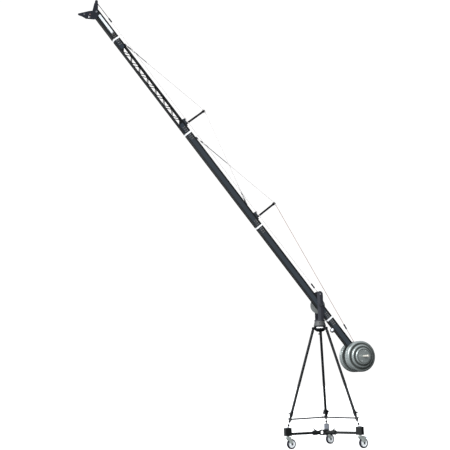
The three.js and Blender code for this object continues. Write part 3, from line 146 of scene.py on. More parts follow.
# Dolly hub: a welded steel boss with three collared sockets, and an oval ring to lift the dolly by.
# It is powder-coated a dark green-grey, and the coat has rubbed thin along the edges.
def coated(name, light, dark, rough, metal=0.0, grain=900.0, bump=0.15, patch=7.0,
           stretch=(1, 1, 1), turn=(0, 0, 0), origin=(0, 0, 0), spec=0.3):
    """A finish with cloudy colour, uneven gloss and a fine grain."""
    smoother, rougher = 0.08, 0.1
    cloud_limits = (0.3, 0.7)
    grain_depth = 0.0004
    finish = bpy.data.materials.new(name)
    finish.use_nodes = True
    tree = finish.node_tree
    shader = tuned(tree.nodes["Principled BSDF"], {"Metallic": metal, "Specular IOR Level": spec})
    place = added(tree, "TexCoord", name="place")
    mapping = added(
        tree, "Mapping", {"Location": origin, "Rotation": turn, "Scale": stretch},
        name="own_axes", vector_type="TEXTURE",
    )
    cloud = added(tree, "TexNoise", {"Scale": patch, "Detail": 8, "Roughness": 0.6})
    ramp = added(tree, "ValToRGB", name="cloud_colours")
    for element, position, colour in zip(ramp.color_ramp.elements, cloud_limits, (dark, light)):
        element.position = position
        element.color = (*colour, 1)
    gloss = added(tree, "MapRange", {"To Min": rough - smoother, "To Max": rough + rougher})
    fine = added(tree, "TexNoise", {"Scale": grain, "Detail": 3})
    relief = added(tree, "Bump", {"Strength": bump, "Distance": grain_depth}, name="fine_relief")
    wired(
        tree,
        (place, "Object", mapping, "Vector"), (mapping, "Vector", cloud, "Vector"),
        (cloud, "Fac", ramp, "Fac"), (ramp, "Color", shader, "Base Color"),
        (cloud, "Fac", gloss, "Value"), (gloss, "Result", shader, "Roughness"),
        (mapping, "Vector", fine, "Vector"), (fine, "Fac", relief, "Height"),
        (relief, "Normal", shader, "Normal"),
    )
    return finish


def picked(piece):
    """Selects one piece alone and makes it the active one."""
    bpy.ops.object.select_all(action="DESELECT")
    bpy.context.view_layer.objects.active = piece
    piece.select_set(True)


def placed(piece, place):
    """Moves a piece to its place and keeps the place in its mesh."""
    piece.matrix_world = place
    picked(piece)
    bpy.ops.object.transform_apply(location=True, rotation=True, scale=True)
    return piece


near_zero = 0.0001


def turned(rings, sides=64, place=None):
    """A closed round body about z, drawn from a circle through rings of (radius, height).
    Where the last ring isn't the first one again, both ends are closed by flat caps."""
    radius, height = rings[0]
    bpy.ops.mesh.primitive_circle_add(vertices=sides, radius=radius, location=(0, 0, height))
    body = bpy.context.object
    bpy.ops.object.transform_apply(location=True, rotation=True, scale=True)
    bpy.ops.object.mode_set(mode="EDIT")
    bpy.ops.mesh.select_all(action="SELECT")
    for next_radius, next_height in rings[1:]:
        rise = (0, 0, next_height - height)
        bpy.ops.mesh.extrude_region_move(TRANSFORM_OT_translate={"value": rise})
        share = next_radius / radius
        bpy.ops.transform.resize(value=(share, share, 1), center_override=(0, 0, next_height))
        radius, height = next_radius, next_height
    bpy.ops.mesh.select_all(action="SELECT")
    bpy.ops.mesh.remove_doubles(threshold=0.000001)
    bpy.ops.mesh.fill_holes(sides=0)
    bpy.ops.mesh.normals_make_consistent(inside=False)
    bpy.ops.object.mode_set(mode="OBJECT")
    return placed(body, place) if place else body


def rod(radius, low, high, sides=64, place=None):
    """A plain round bar about z."""
    return turned([(radius, low), (radius, high)], sides, place)


def ring(inner, outer, low, high, sides=64, place=None):
    """A plain ring about z."""
    return turned([(inner, low), (inner, high), (outer, high), (outer, low), (inner, low)], sides, place)


def blocked(low, high, place=None):
    """A block between two corners, with its place in its mesh."""
    low, high = Vector(low), Vector(high)
    bpy.ops.mesh.primitive_cube_add(size=1, location=(low + high) / 2, scale=high - low)
    block = bpy.context.object
    bpy.ops.object.transform_apply(location=True, rotation=True, scale=True)
    return placed(block, place) if place else block


def shifted(piece, chosen, move):
    """Moves the points that chosen() picks by their place."""
    picked(piece)
    bpy.ops.object.mode_set(mode="EDIT")
    bpy.ops.mesh.select_mode(type="VERT")
    bpy.ops.mesh.select_all(action="DESELECT")
    bpy.ops.object.mode_set(mode="OBJECT")
    for point in piece.data.vertices:
        point.select = chosen(point.co)
    bpy.ops.object.mode_set(mode="EDIT")
    bpy.ops.transform.translate(value=move)
    bpy.ops.object.mode_set(mode="OBJECT")
    return piece


def spread(piece, axis, away):
    """Moves the two halves of a shape apart along one of its axes."""
    for side in (1, -1):
        move = [0, 0, 0]
        move[axis] = side * away
        shifted(piece, lambda point: point[axis] * side > near_zero, move)
    return piece


def copied(piece, place=None):
    """Another piece of the same shape, with a mesh of its own."""
    twin = piece.copy()
    twin.data = piece.data.copy()
    bpy.context.scene.collection.objects.link(twin)
    return placed(twin, place) if place else twin


def joined(pieces):
    """Several shapes as one piece."""
    picked(pieces[0])
    for piece in pieces[1:]:
        piece.select_set(True)
    bpy.ops.object.join()
    return pieces[0]


def dropped(*shapes):
    """Takes away shapes that were only copied from."""
    for shape in shapes:
        bpy.data.objects.remove(shape)


def bored(piece, tool):
    """Cuts a tool's shape out of a piece and takes the tool away."""
    cut = piece.modifiers.new("bore", "BOOLEAN")
    cut.operation = "DIFFERENCE"
    cut.solver = "EXACT"
    cut.object = tool
    picked(piece)
    bpy.ops.object.modifier_apply(modifier=cut.name)
    dropped(tool)
    return piece


def beveled(piece, width, angle=35, **settings):
    """Rounds a piece's sharp edges, in its second finish where it has two."""
    bevel = piece.modifiers.new("edges", "BEVEL")
    bevel.width = width
    bevel.segments = 2
    bevel.limit_method = "ANGLE"
    bevel.angle_limit = math.radians(angle)
    if len(piece.data.materials) > 1:
        bevel.material = 1
    for setting, value in settings.items():
        setattr(bevel, setting, value)
    picked(piece)
    bpy.ops.object.modifier_apply(modifier=bevel.name)
    return piece


def fitted(name, piece, body, finishes, nodes=(), edge=0.0):
    """Names a piece, rounds its edges, gives it its finish, and sets it on its body."""
    smooth_angle = 38
    piece.name = name
    picked(piece)
    if not piece.data.materials:
        for finish in finishes:
            piece.data.materials.append(finish)
    if edge:
        beveled(piece, edge)
    bpy.ops.object.shade_smooth_by_angle(angle=math.radians(smooth_angle))
    weighted = piece.modifiers.new("faces", "WEIGHTED_NORMAL")
    weighted.keep_sharp = True
    bpy.ops.object.modifier_apply(modifier=weighted.name)
    if nodes:
        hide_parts(*nodes)
    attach(piece, body)
    return piece


def moved(x=0, y=0, z=0):
    """A move along the axes, in metres."""
    return Matrix.Translation((x, y, z))


def spun(angle, axis):
    """A turn about an axis, in degrees."""
    return Matrix.Rotation(math.radians(angle), 4, axis)


pan_axis = moved(1.226719, -0.015029)
along_x = spun(90, "Y")
along_y = spun(-90, "X")
both_faces = ((-1, along_y.inverted()), (1, along_y))
leg_headings = {"left": spun(183.3, "Z"), "right": spun(303.3, "Z"), "rear": spun(63.3, "Z")}
dolly_coat = coated("dolly_coat", (0.009, 0.010, 0.010), (0.005, 0.006, 0.006), 0.5, spec=0.2)
rubbed_edge = coated("rubbed_edge", (0.035, 0.038, 0.038), (0.012, 0.013, 0.013), 0.42, metal=0.3, patch=30)

tube_height = 0.185
hole_radius, hole_stretch, hole_sides = 0.0215, 0.009, 46
hub_centre = pan_axis @ moved(z=tube_height)
boss_rings = [(0.040, -0.033), (0.040, 0.033), (0.031, 0.033), (0.031, 0.029)]
hub_shapes = [turned(boss_rings, place=hub_centre)]
for side, heading_turn in leg_headings.items():
    root = 0.0665 if side == "left" else 0.020
    hub_shapes.append(turned([
        (0.024, root), (0.024, 0.109), (0.029, 0.109), (0.029, 0.165), (0.0168, 0.165), (0.0168, 0.105),
    ], place=hub_centre @ heading_turn @ along_x))
ring_place = hub_centre @ moved(x=-0.033) @ along_y
for cut_shape in (hub_shapes[0], hub_shapes[2], hub_shapes[3]):
    hand_hole = rod(hole_radius, -0.070, 0.070, hole_sides)
    bored(cut_shape, placed(spread(hand_hole, 0, hole_stretch), ring_place))
hand_ring = ring(hole_radius, 0.0355, -0.018, 0.018, hole_sides)
hub_shapes.append(placed(spread(hand_ring, 0, hole_stretch), ring_place))
fitted(
    "dolly_hub_body", joined(hub_shapes), "base", (dolly_coat, rubbed_edge),
    ["dolly_hub"], edge=0.0008,
)


# Dolly arms: three round tubes, each welded to a foot block that holds a leg above and a castor below.
# They have the hub's powder coat, with painted light on the rear one: its coat is paler, for the bright light
# it catches. A turned steel cup is pressed into each block.
dull_steel = coated("dull_steel", (0.30, 0.31, 0.33), (0.20, 0.21, 0.23), 0.38, metal=0.9, patch=30)
# Painted light: the rear limb's coat is a paler copy of the dolly coat, for the light falling on that side.
rear_lit_coat = coated("rear_lit_coat", (0.17, 0.18, 0.21), (0.12, 0.13, 0.15), 0.5)
foot_reach = 0.518
block_half_length, block_half_width = 0.044, 0.032
block_bottom, block_top = 0.163, 0.261
block_start, block_end = foot_reach - block_half_length, foot_reach + block_half_length
corner_round = 0.009

arm_tube = rod(0.0165, 0.1053, block_start + 0.001, place=moved(z=tube_height) @ along_x)
foot_block = blocked(
    (block_start, -block_half_width, block_bottom), (block_end, block_half_width, block_top),
)
edge_weights = foot_block.data.attributes.new("bevel_weight_edge", "FLOAT", "EDGE")
for edge in foot_block.data.edges:
    first, second = (foot_block.data.vertices[index].co for index in edge.vertices)
    edge_weights.data[edge.index].value = 1.0 if abs(first.z - second.z) > 0.01 else 0.0
beveled(foot_block, corner_round, segments=4, limit_method="WEIGHT")
bored(foot_block, rod(0.0152, 0.2375, 0.300, place=moved(foot_reach)))
bored(foot_block, rod(0.0106, 0.150, 0.2015, place=moved(foot_reach)))
bpy.ops.mesh.primitive_torus_add(
    major_radius=0.0172, minor_radius=0.0026, major_segments=48, minor_segments=8
)
weld_bead = placed(bpy.context.object, moved(block_start, z=tube_height) @ along_x)
dolly_limb = joined([foot_block, arm_tube, weld_bead])
foot_cup = turned([
    (0.0153, 0.2612), (0.0153, 0.268), (0.0205, 0.268), (0.0245, 0.264), (0.0245, 0.2612), (0.0153, 0.2612),
], place=moved(foot_reach))
for side, heading_turn in leg_headings.items():
    limb = copied(dolly_limb, pan_axis @ heading_turn)
    finishes = (rear_lit_coat if side == "rear" else dolly_coat, rubbed_edge)
    fitted("dolly_limb_" + side, limb, "base", finishes, ["dolly_arm_" + side], edge=0.0013)
    cup = copied(foot_cup, pan_axis @ heading_turn)
    fitted("foot_cup_" + side, cup, "base", (dull_steel,), edge=0.0005)
dropped(dolly_limb, foot_cup)


# Clamp screws: two of them press on the dolly arms in their sockets.
# Each has a round black hub and a sloping steel lever with a pale plastic ball on its tip.
grip_black = coated("grip_black", (0.016, 0.016, 0.018), (0.010, 0.010, 0.012), 0.55, grain=1600)
lever_tip = coated("lever_tip", (0.52, 0.53, 0.55), (0.42, 0.43, 0.45), 0.45)
for side in ("left", "right"):
    screw_place = hub_centre @ leg_headings[side] @ moved(x=0.136)
    lever_place = screw_place @ moved(z=0.0348) @ spun(-36, "Y")
    screw_hub = turned([
        (0.0049, 0.0285), (0.0049, 0.0293), (0.012, 0.0293), (0.012, 0.0403),
    ], 32, screw_place)
    stalk = turned([(0.0052, 0.004), (0.0044, 0.020), (0.0040, 0.043)], 20, lever_place @ along_x)
    fitted(
        "clamp_screw_" + side, joined([screw_hub, stalk]), "knob_" + side,
        (grip_black,), ["clamp_knob_" + side], edge=0.0008,
    )
    bpy.ops.mesh.primitive_uv_sphere_add(segments=24, ring_count=16, radius=0.0065)
    tip = placed(bpy.context.object, lever_place @ moved(x=0.047) @ Matrix.Diagonal((1.08, 1, 1, 1)))
    fitted("clamp_tip_" + side, tip, "knob_" + side, (lever_tip,))


# Castor forks: pressed steel with a bearing neck and two cheeks, zinc-plated.
# The axle bolt is held by a dark washer and nut on each side.
def eased(node, body, finishes, edge=0.0008, extra=(), tools=()):
    """The node's own shape with small rounded edges and smooth rounds, less the tools and with the extras."""
    merge_distance, flat_angle, round_angle = 0.00001, 0.5, 42
    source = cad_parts[node]
    piece = source.copy()
    piece.data = source.data.copy()
    for key in list(piece.keys()):
        del piece[key]
    piece.parent = None
    bpy.context.scene.collection.objects.link(piece)
    piece.data.materials.clear()
    picked(piece)
    bpy.ops.object.mode_set(mode="EDIT")
    bpy.ops.mesh.select_all(action="SELECT")
    bpy.ops.mesh.remove_doubles(threshold=merge_distance)
    bpy.ops.mesh.customdata_custom_splitnormals_clear()
    bpy.ops.mesh.dissolve_limited(angle_limit=math.radians(flat_angle))
    bpy.ops.object.mode_set(mode="OBJECT")
    for tool in tools:
        bored(piece, tool)
    if tools:
        bpy.ops.object.mode_set(mode="EDIT")
        bpy.ops.mesh.select_all(action="SELECT")
        bpy.ops.mesh.remove_doubles(threshold=merge_distance)
        bpy.ops.mesh.quads_convert_to_tris(quad_method="BEAUTY", ngon_method="BEAUTY")
        bpy.ops.mesh.normals_make_consistent(inside=False)
        bpy.ops.object.mode_set(mode="OBJECT")
    if extra:
        joined([piece, *extra])
    for finish in finishes:
        piece.data.materials.append(finish)
    if edge:
        beveled(piece, edge, round_angle, use_clamp_overlap=False)
    return fitted(node + "_dressed", piece, body, finishes, [node])


def nut(radius, height, place=None):
    """A chamfered hexagonal nut or bolt head about z, on its seat at zero, with its washer."""
    washer_height_share, washer_share, chamfer_start_share, top_share = 0.2, 1.22, 0.85, 0.86
    seat, rim = height * washer_height_share, radius * washer_share
    corners = [(radius, seat), (radius, height * chamfer_start_share), (radius * top_share, height)]
    hexagon = turned(corners, 6)
    washer = rod(rim, 0, seat, 32)
    whole = joined([hexagon, washer])
    return placed(whole, place) if place else whole


zinc = coated("zinc", (0.58, 0.63, 0.60), (0.42, 0.46, 0.44), 0.36, metal=0.45, patch=40, spec=0.5)
axle_dark = coated("axle_dark", (0.030, 0.031, 0.034), (0.018, 0.019, 0.021), 0.4, metal=0.3, patch=40)
axle_place = moved(0.045, z=0.0625)
axle_face = 0.0221
castor_places = {
    side: Matrix.Translation((pan_axis @ heading_turn) @ Vector((foot_reach, 0, 0))) @ spun(9.5, "Z")
    for side, heading_turn in leg_headings.items()
}
for side, castor_place in castor_places.items():
    axle_nuts = [
        nut(0.0100, 0.0056, castor_place @ axle_place @ moved(y=facing * axle_face) @ turn)
        for facing, turn in both_faces
    ]
    race = turned([
        (0.0165, 0.1402), (0.0185, 0.143), (0.0185, 0.1465), (0.0170, 0.1490), (0.0185, 0.1515),
        (0.0185, 0.155), (0.0165, 0.158),
    ], 48, castor_place)
    eased("castor_fork_" + side, "fork_" + side, (zinc,), 0.0007, [race])
    fitted("axle_nuts_" + side, joined(axle_nuts), "fork_" + side, (axle_dark,), edge=0.0004)


# Castor wheels: a dark rubber tyre bonded on a pale nylon rim with a stepped hub.
# The tyre is turned to a shallow crown, and the rim is moulded with a dished web.
rubber = coated("rubber", (0.020, 0.018, 0.028), (0.013, 0.012, 0.019), 0.7, grain=500, bump=0.3, spec=0.2)
nylon = coated("nylon", (0.84, 0.86, 0.88), (0.74, 0.77, 0.79), 0.4, patch=25)
wheel_sides = 72
tyre_half = [(0.0452, 0.0145), (0.0540, 0.0165), (0.0598, 0.0147), (0.0618, 0.0105), (0.0625, 0.0045)]
rim_half = [
    (0.0063, 0.0177), (0.0105, 0.0177), (0.0140, 0.0165), (0.0150, 0.0085), (0.0390, 0.0065),
    (0.0420, 0.0140), (0.0450, 0.0140),
]


def mirrored_ring(half):
    """A closed profile from its half on one side of the middle plane."""
    other = [(radius, -along) for radius, along in half]
    return [*half, *reversed(other), half[0]]


for side, castor_place in castor_places.items():
    wheel_place = castor_place @ axle_place @ along_y
    tyre = turned(mirrored_ring(tyre_half), wheel_sides, wheel_place)
    wheel = "wheel_" + side
    fitted("tyre_" + side, tyre, wheel, (rubber,), ["castor_wheel_" + side], edge=0.001)
    rim = turned(mirrored_ring(rim_half), wheel_sides, wheel_place)
    fitted("wheel_rim_" + side, rim, wheel, (nylon,), edge=0.0006)


# Foot brake of the right castor: a pale blue moulded pedal on a cross pin, with ribs for the sole.
brake_blue = coated("brake_blue", (0.28, 0.42, 0.72), (0.24, 0.36, 0.63), 0.5)
pedal_run, pedal_drop = 0.046, 0.014
pedal_slope = Matrix.Rotation(math.atan2(pedal_drop, pedal_run), 4, "Y")
pedal_place = castor_places["right"] @ moved(0.065, z=0.131) @ pedal_slope
rib_half, rib_width, rib_foot, rib_top = 0.0135, 0.0022, 0.0020, 0.0038
ribs = [
    blocked((reach, -rib_half, rib_foot), (reach + rib_width, rib_half, rib_top), pedal_place)
    for reach in (0.014, 0.021, 0.028, 0.035, 0.042)
]
eased("castor_brake_right", "brake_right", (brake_blue,), 0.0007, ribs)


# Tripod crown: a cast black bowl with three pairs of ears, and a painted highlight on its front: a thin white
# arc.
# The legs hinge on bolts through the ears.
tripod_black = coated("tripod_black", (0.006, 0.007, 0.009), (0.003, 0.004, 0.005), 0.45, spec=0.16)
worn_black = coated("worn_black", (0.020, 0.022, 0.026), (0.007, 0.008, 0.010), 0.42, metal=0.2, patch=40)
bright_steel = coated(
    "bright_steel_finish", (0.72, 0.73, 0.74), (0.56, 0.57, 0.58), 0.26, metal=1.0, patch=40
)
crown_highlight_white = coated("crown_highlight_white", (0.92, 0.93, 0.94), (0.84, 0.85, 0.86), 0.4, metal=0.1, patch=40)
leg_pivot_place = moved(0.095, z=1.508)
ear_face = 0.0158
front_turn = spun(246, "Z")

crown_shapes = [turned([
    (0.012, 1.465), (0.030, 1.465), (0.042, 1.4672), (0.0525, 1.4725), (0.0620, 1.4795),
    (0.0695, 1.4870), (0.0745, 1.4940), (0.0770, 1.5015), (0.0770, 1.538), (0.012, 1.538), (0.012, 1.465),
], place=pan_axis)]
for heading_turn in leg_headings.values():
    pivot_place = pan_axis @ heading_turn @ leg_pivot_place
    for inner, outer in ((0.0078, ear_face), (-ear_face, -0.0078)):
        ear = shifted(rod(0.017, inner, outer, 48), lambda point: point.x < near_zero, (-0.035, 0, 0))
        crown_shapes.append(placed(ear, pivot_place @ along_y))
    for facing, turn in both_faces:
        crown_shapes.append(nut(0.0085, 0.0055, pivot_place @ moved(y=facing * ear_face) @ turn))
    crown_shapes.append(rod(0.005, -0.016, 0.016, 24, pivot_place @ along_y))
fitted(
    "crown_body", joined(crown_shapes), "base", (tripod_black, worn_black),
    ["tripod_crown"], edge=0.001,
)
# Painted highlight: a white band kept only as an arc on the front, where the sheen of the lights falls.
crown_highlight_arc = ring(0.0766, 0.0776, 1.5085, 1.5215, 96, pan_axis)
bored(crown_highlight_arc, blocked((-0.100, -0.100, 1.500), (0.0648, 0.100, 1.530), pan_axis @ front_turn))
fitted("crown_highlight_arc", crown_highlight_arc, "base", (crown_highlight_white,), edge=0.0003)


# Tripod legs: black tubes with a hinge tongue and a lock collar with a cross lever, and a square one behind.
# A thinner tube slides in each, and ends in a threaded spike with a lock nut and a ball.
leg_run, leg_drop = 0.423, 1.258
leg_lean = math.atan2(leg_run, leg_drop)
leg_length = math.hypot(leg_run, leg_drop)
collar_length = 0.062
collar_end = leg_length - 0.157
collar_start = collar_end - collar_length
lower_tube_top = collar_start - 0.588
tube_end = leg_length - 0.085
lock_height = -(collar_start + collar_end) / 2
lever_inner, lever_outer, lever_half, lever_half_width = 0.0207, 0.0285, 0.033, 0.0075
square_lever_drop, square_lever_turn = 0.021, -22

tongue = shifted(rod(0.0135, -0.0075, 0.0075, 48), lambda point: point.y > -near_zero, (0, 0.046, 0))
upper_tube = turned([
    (0.0145, -lower_tube_top + 0.040), (0.0145, -collar_end), (0.0205, -collar_end),
    (0.0205, -collar_end + 0.010), (0.0196, -collar_end + 0.011), (0.0196, -collar_end + 0.014),
    (0.0205, -collar_end + 0.015), (0.0205, -collar_start), (0.0170, -collar_start),
    (0.0170, -0.057), (0.0182, -0.057), (0.0182, -0.037), (0.0165, -0.035),
], 48)
lock_pivot = rod(0.009, 0.017, lever_outer, 32, moved(z=lock_height) @ along_x)
lock_lever = blocked(
    (lever_inner, -lever_half, lock_height - lever_half_width),
    (lever_outer, lever_half, lock_height + lever_half_width),
)
upper_leg = joined([placed(tongue, along_y), upper_tube, lock_pivot, lock_lever])
rear_lever = turned([
    (0.042, 0.0208), (0.048, 0.0225), (0.048, 0.0290), (0.044, 0.0300),
], 4, moved(z=lock_height - square_lever_drop) @ spun(square_lever_turn, "X") @ along_x)
lower_leg = turned([
    (0.0121, -lower_tube_top), (0.0142, -lower_tube_top), (0.0142, -tube_end + 0.004), (0.0125, -tube_end),
    (0.0052, -tube_end), (0.0052, -leg_length + 0.0105), (0.0095, -leg_length + 0.0075),
    (0.0117, -leg_length + 0.003), (0.0120, -leg_length), (0.0113, -leg_length - 0.004),
    (0.0090, -leg_length - 0.008), (0.0050, -leg_length - 0.011), (0.0005, -leg_length - 0.012),
], 32)
spike_nut = nut(0.0120, 0.020, moved(z=-leg_length + 0.037))
for side, heading_turn in leg_headings.items():
    leg_place = pan_axis @ heading_turn @ leg_pivot_place @ Matrix.Rotation(-leg_lean, 4, "Y")
    upper = copied(upper_leg)
    if side == "rear":
        joined([upper, rear_lever])
    placed(upper, leg_place)
    fitted(
        "upper_leg_" + side, upper, "base", (tripod_black, worn_black),
        ["leg_upper_" + side], edge=0.0009,
    )
    lower = copied(lower_leg, leg_place)
    fitted("lower_leg_" + side, lower, "base", (tripod_black,), ["leg_lower_" + side], 0.0006)
    lock_nut = copied(spike_nut, leg_place)
    fitted("spike_nut_" + side, lock_nut, "base", (tripod_black,), edge=0.0004)
dropped(upper_leg, lower_leg, spike_nut)


# Mid spreader: a black hub with three dark rods, each with a ring that a wing screw clamps on its leg.
rod_grey = coated("rod_grey", (0.030, 0.030, 0.033), (0.020, 0.020, 0.023), 0.42, metal=0.2)
pale_zinc = coated("pale_zinc", (0.62, 0.64, 0.63), (0.48, 0.50, 0.49), 0.4, metal=0.5, patch=40)
ring_from_foot = 0.122
ring_reach = foot_reach - ring_from_foot * math.sin(leg_lean)
ring_height = 0.250 + ring_from_foot * math.cos(leg_lean)
hub_pin_reach, rod_rise = 0.024, 0.008
rod_run = ring_reach - hub_pin_reach
rod_length = math.hypot(rod_rise, rod_run)

eased("spreader_hub", "base", (tripod_black, worn_black), 0.0012)
rod_place = (
    moved(hub_pin_reach, z=ring_height + rod_rise) @ Matrix.Rotation(math.atan2(rod_rise, rod_run), 4, "Y")
)
clamp_place = moved(ring_reach, z=ring_height) @ Matrix.Rotation(-leg_lean, 4, "Y")
spreader = joined([
    ring(0.0034, 0.008, -0.005, 0.005, 32, rod_place @ along_y),
    turned([
        (0.0045, 0.0075), (0.0045, 0.0150), (0.0092, 0.0175), (0.0092, rod_length - 0.016),
    ], 32, rod_place @ along_x),
    ring(0.0145, 0.021, -0.013, 0.013, 48, clamp_place),
])
wings = spread(rod(0.008, 0.032, 0.0375, 32), 1, 0.006)
wing_screw = joined([
    rod(0.005, 0.0195, 0.033, 24, clamp_place @ along_x),
    placed(wings, clamp_place @ along_x),
])
for side, heading_turn in leg_headings.items():
    fitted(
        "spreader_limb_" + side, copied(spreader, pan_axis @ heading_turn), "base",
        (rod_grey,), ["spreader_arm_" + side], edge=0.0008,
    )
    screw = copied(wing_screw, pan_axis @ heading_turn)
    fitted("wing_screw_" + side, screw, "base", (pale_zinc,), edge=0.0008)
dropped(spreader, wing_screw)


# Tie-down knob: a moulded black wing grip under the bowl, on the bolt that pulls the pan base down.
tie_place = pan_axis @ moved(z=1.465)
tie_cup = turned([
    (0.008, -0.0003), (0.016, -0.0003), (0.016, -0.0050), (0.0135, -0.0066), (0.012, -0.009),
    (0.0115, -0.034), (0.0100, -0.0388), (0.004, -0.0393),
], 48, tie_place)
tie_wings = spread(rod(0.0085, -0.004, 0.004, 32), 0, 0.0185)
placed(tie_wings, tie_place @ moved(z=-0.0305) @ along_y)
fitted(
    "tie_down_grip", joined([tie_cup, tie_wings]), "tie_down", (grip_black,),
    ["tie_down_knob"], edge=0.0012,
)


# Pan base: a cast aluminium cone with a machined rim, painted mid grey, with a sunk locking screw.
cast_paint = coated(
    "cast_paint", (0.082, 0.085, 0.086), (0.056, 0.058, 0.060), 0.5, metal=0.3, grain=420, bump=0.3
)
pan_cone = turned([
    (0.0085, 1.5603), (0.0085, 1.5383), (0.0800, 1.5383), (0.0800, 1.5468), (0.0782, 1.5490),
    (0.0768, 1.5520), (0.0668, 1.5950), (0.0660, 1.6010), (0.0204, 1.6010), (0.0204, 1.5710),
], 96, pan_axis)
screw_line = pan_axis @ moved(z=1.5742) @ front_turn @ along_x
bored(pan_cone, rod(0.0060, 0.060, 0.100, 32, screw_line))
fitted("pan_cone", pan_cone, "base", (cast_paint,), ["pan_base"], edge=0.0008)
pan_screw = turned([
    (0.0042, 0.0605), (0.0042, 0.0665), (0.0020, 0.0665), (0.0020, 0.0640),
], 24, screw_line)
fitted("pan_screw", pan_screw, "base", (tripod_black,), edge=0.0002)


# Yoke: two thick round-topped plates on a turning disc, painted dark blue-grey, the near one bevelled, with
# painted light on its bevelled band.
# The photograph shows no flange on it, so the solid model's flange is cut off here.
yoke_coat = coated("yoke_coat", (0.022, 0.023, 0.030), (0.015, 0.016, 0.022), 0.45)
yoke_edge_wear_and_light = coated("yoke_edge_wear_and_light", (0.056, 0.059, 0.070), (0.040, 0.042, 0.052), 0.42, metal=0.2, patch=40)
dark_steel = coated("dark_steel", (0.11, 0.115, 0.125), (0.07, 0.075, 0.085), 0.35, metal=0.8, patch=40)
tilt_place = pan_axis @ moved(z=1.807)
plate_half, plate_outside, disc_top, shoulder_height = 0.040, 0.056, -0.1915, 0.144
past_outside, flange_inside, past_top = -0.060, -0.0455, 0.200
bevel_facing_x, bevel_facing_y = -0.05, -0.9
flange_tool = blocked((-0.080, past_outside, disc_top), (-plate_half, flange_inside, past_top), tilt_place)
shoulder_tool = blocked(
    (-0.050, past_outside, -0.002), (0, flange_inside, 0.060),
    tilt_place @ moved(-plate_half, z=shoulder_height) @ spun(22.5, "Y"),
)
bevel_tool = blocked(
    (-0.100, -0.050, disc_top), (0, 0, past_top), tilt_place @ moved(y=-plate_outside) @ spun(-5.6, "Z")
)
dressed_yoke = eased(
    "yoke", "turntable", (yoke_coat, yoke_edge_wear_and_light), 0.0012,
    tools=(flange_tool, shoulder_tool, bevel_tool),
)
# Painted light: the near plate's bevelled band, turned to the left, takes the lighter edge finish as if lit.
for face in dressed_yoke.data.polygons:
    if face.normal.y < bevel_facing_y and face.normal.x < bevel_facing_x:
        face.material_index = 1
axle_washer = ring(0.0105, 0.0225, 0.0563, 0.0583, 48, tilt_place @ along_y.inverted())
eased("tilt_axle", "turntable", (dark_steel,), 0.0010, [axle_washer])
eased("levelling_pin", "turntable", (bright_steel,), 0.0006)
eased("tilt_lock_knob", "tilt_knob", (grip_black,), 0.0025)
knob_insert = ring(0.0106, 0.0165, 0.0825, 0.0838, 48, tilt_place @ along_y)
fitted("tilt_knob_insert", knob_insert, "tilt_knob", (dull_steel,), edge=0.0004)


# Tilt brake disc: a bare steel disc on the arm's far side, turned all over, with a chamfered rim.
def lathe_marked(finish, centre, axis, scale, strength):
    """Adds the fine rings that a lathe leaves about an axis to a finish."""
    tree = finish.node_tree
    place = added(tree, "TexCoord")
    mapping = added(tree, "Mapping", {"Location": centre}, vector_type="TEXTURE")
    rings = added(
        tree, "TexWave", {"Scale": scale, "Distortion": 0.6, "Detail": 2},
        wave_type="RINGS", rings_direction=axis,
    )
    marks = added(tree, "Bump", {"Strength": strength, "Distance": 0.0003})
    wired(
        tree,
        (place, "Object", mapping, "Vector"), (mapping, "Vector", rings, "Vector"),
        (rings, "Fac", marks, "Height"), (tree.nodes["fine_relief"], "Normal", marks, "Normal"),
        (marks, "Normal", tree.nodes["Principled BSDF"], "Normal"),
    )


disc_steel = coated("disc_steel", (0.25, 0.265, 0.26), (0.195, 0.205, 0.205), 0.42, metal=0.3)
lathe_marked(disc_steel, tilt_place.translation, "Y", 160, 0.25)
arm_slope = 52.16
arm_turn = spun(arm_slope, "Y")
arm_place = tilt_place @ arm_turn
disc = turned([
    (0.0106, 0.0383), (0.0106, 0.0433), (0.104, 0.0433), (0.105, 0.0425), (0.105, 0.0391),
    (0.104, 0.0383), (0.0106, 0.0383),
], 128, arm_place @ along_y)
fitted("brake_disc_plate", disc, "arm", (disc_steel,), ["tilt_brake_disc"])


# Arm sections: box tubes of grey anodised aluminium, drawn lengthwise, with painted shade along the top and
# bottom edges.
# The lattice section is black where its side walls are cut to a zig-zag. The tip section is the darkest.
# Painted shade: the top band for the rounded top edge turned away from the light, the bottom band for the
# shaded underside.
upper_shade_band, lower_shade_band = (0.0195, 0.0225), (-0.0350, -0.0375)
shade_and_cut_black = (0.004, 0.005, 0.006)
drawn_stretch = 14
cut_middle, cut_half = 3.589 / drawn_stretch, 0.615 / drawn_stretch
cut_blur = 0.0005
drawn = {
    "stretch": (drawn_stretch, 1, 1), "turn": (0, math.radians(arm_slope), 0),
    "origin": tilt_place.translation,
}
arm_grey = coated("arm_anodised", (0.037, 0.047, 0.058), (0.030, 0.038, 0.048), 0.45, metal=0.15, **drawn)
tip_grey = coated(
    "tip_anodised", (0.017, 0.022, 0.024), (0.012, 0.016, 0.018), 0.45, metal=0.15, spec=0.2, **drawn
)
lattice_black = coated("lattice_black", (0.032, 0.042, 0.055), (0.026, 0.034, 0.045), 0.5, spec=0.14, **drawn)
arm_edge = coated("arm_edge", (0.055, 0.060, 0.066), (0.018, 0.021, 0.025), 0.4, metal=0.3, patch=40)
lattice_edge = coated("lattice_edge", (0.014, 0.016, 0.022), (0.006, 0.007, 0.010), 0.5, spec=0.15, patch=40)


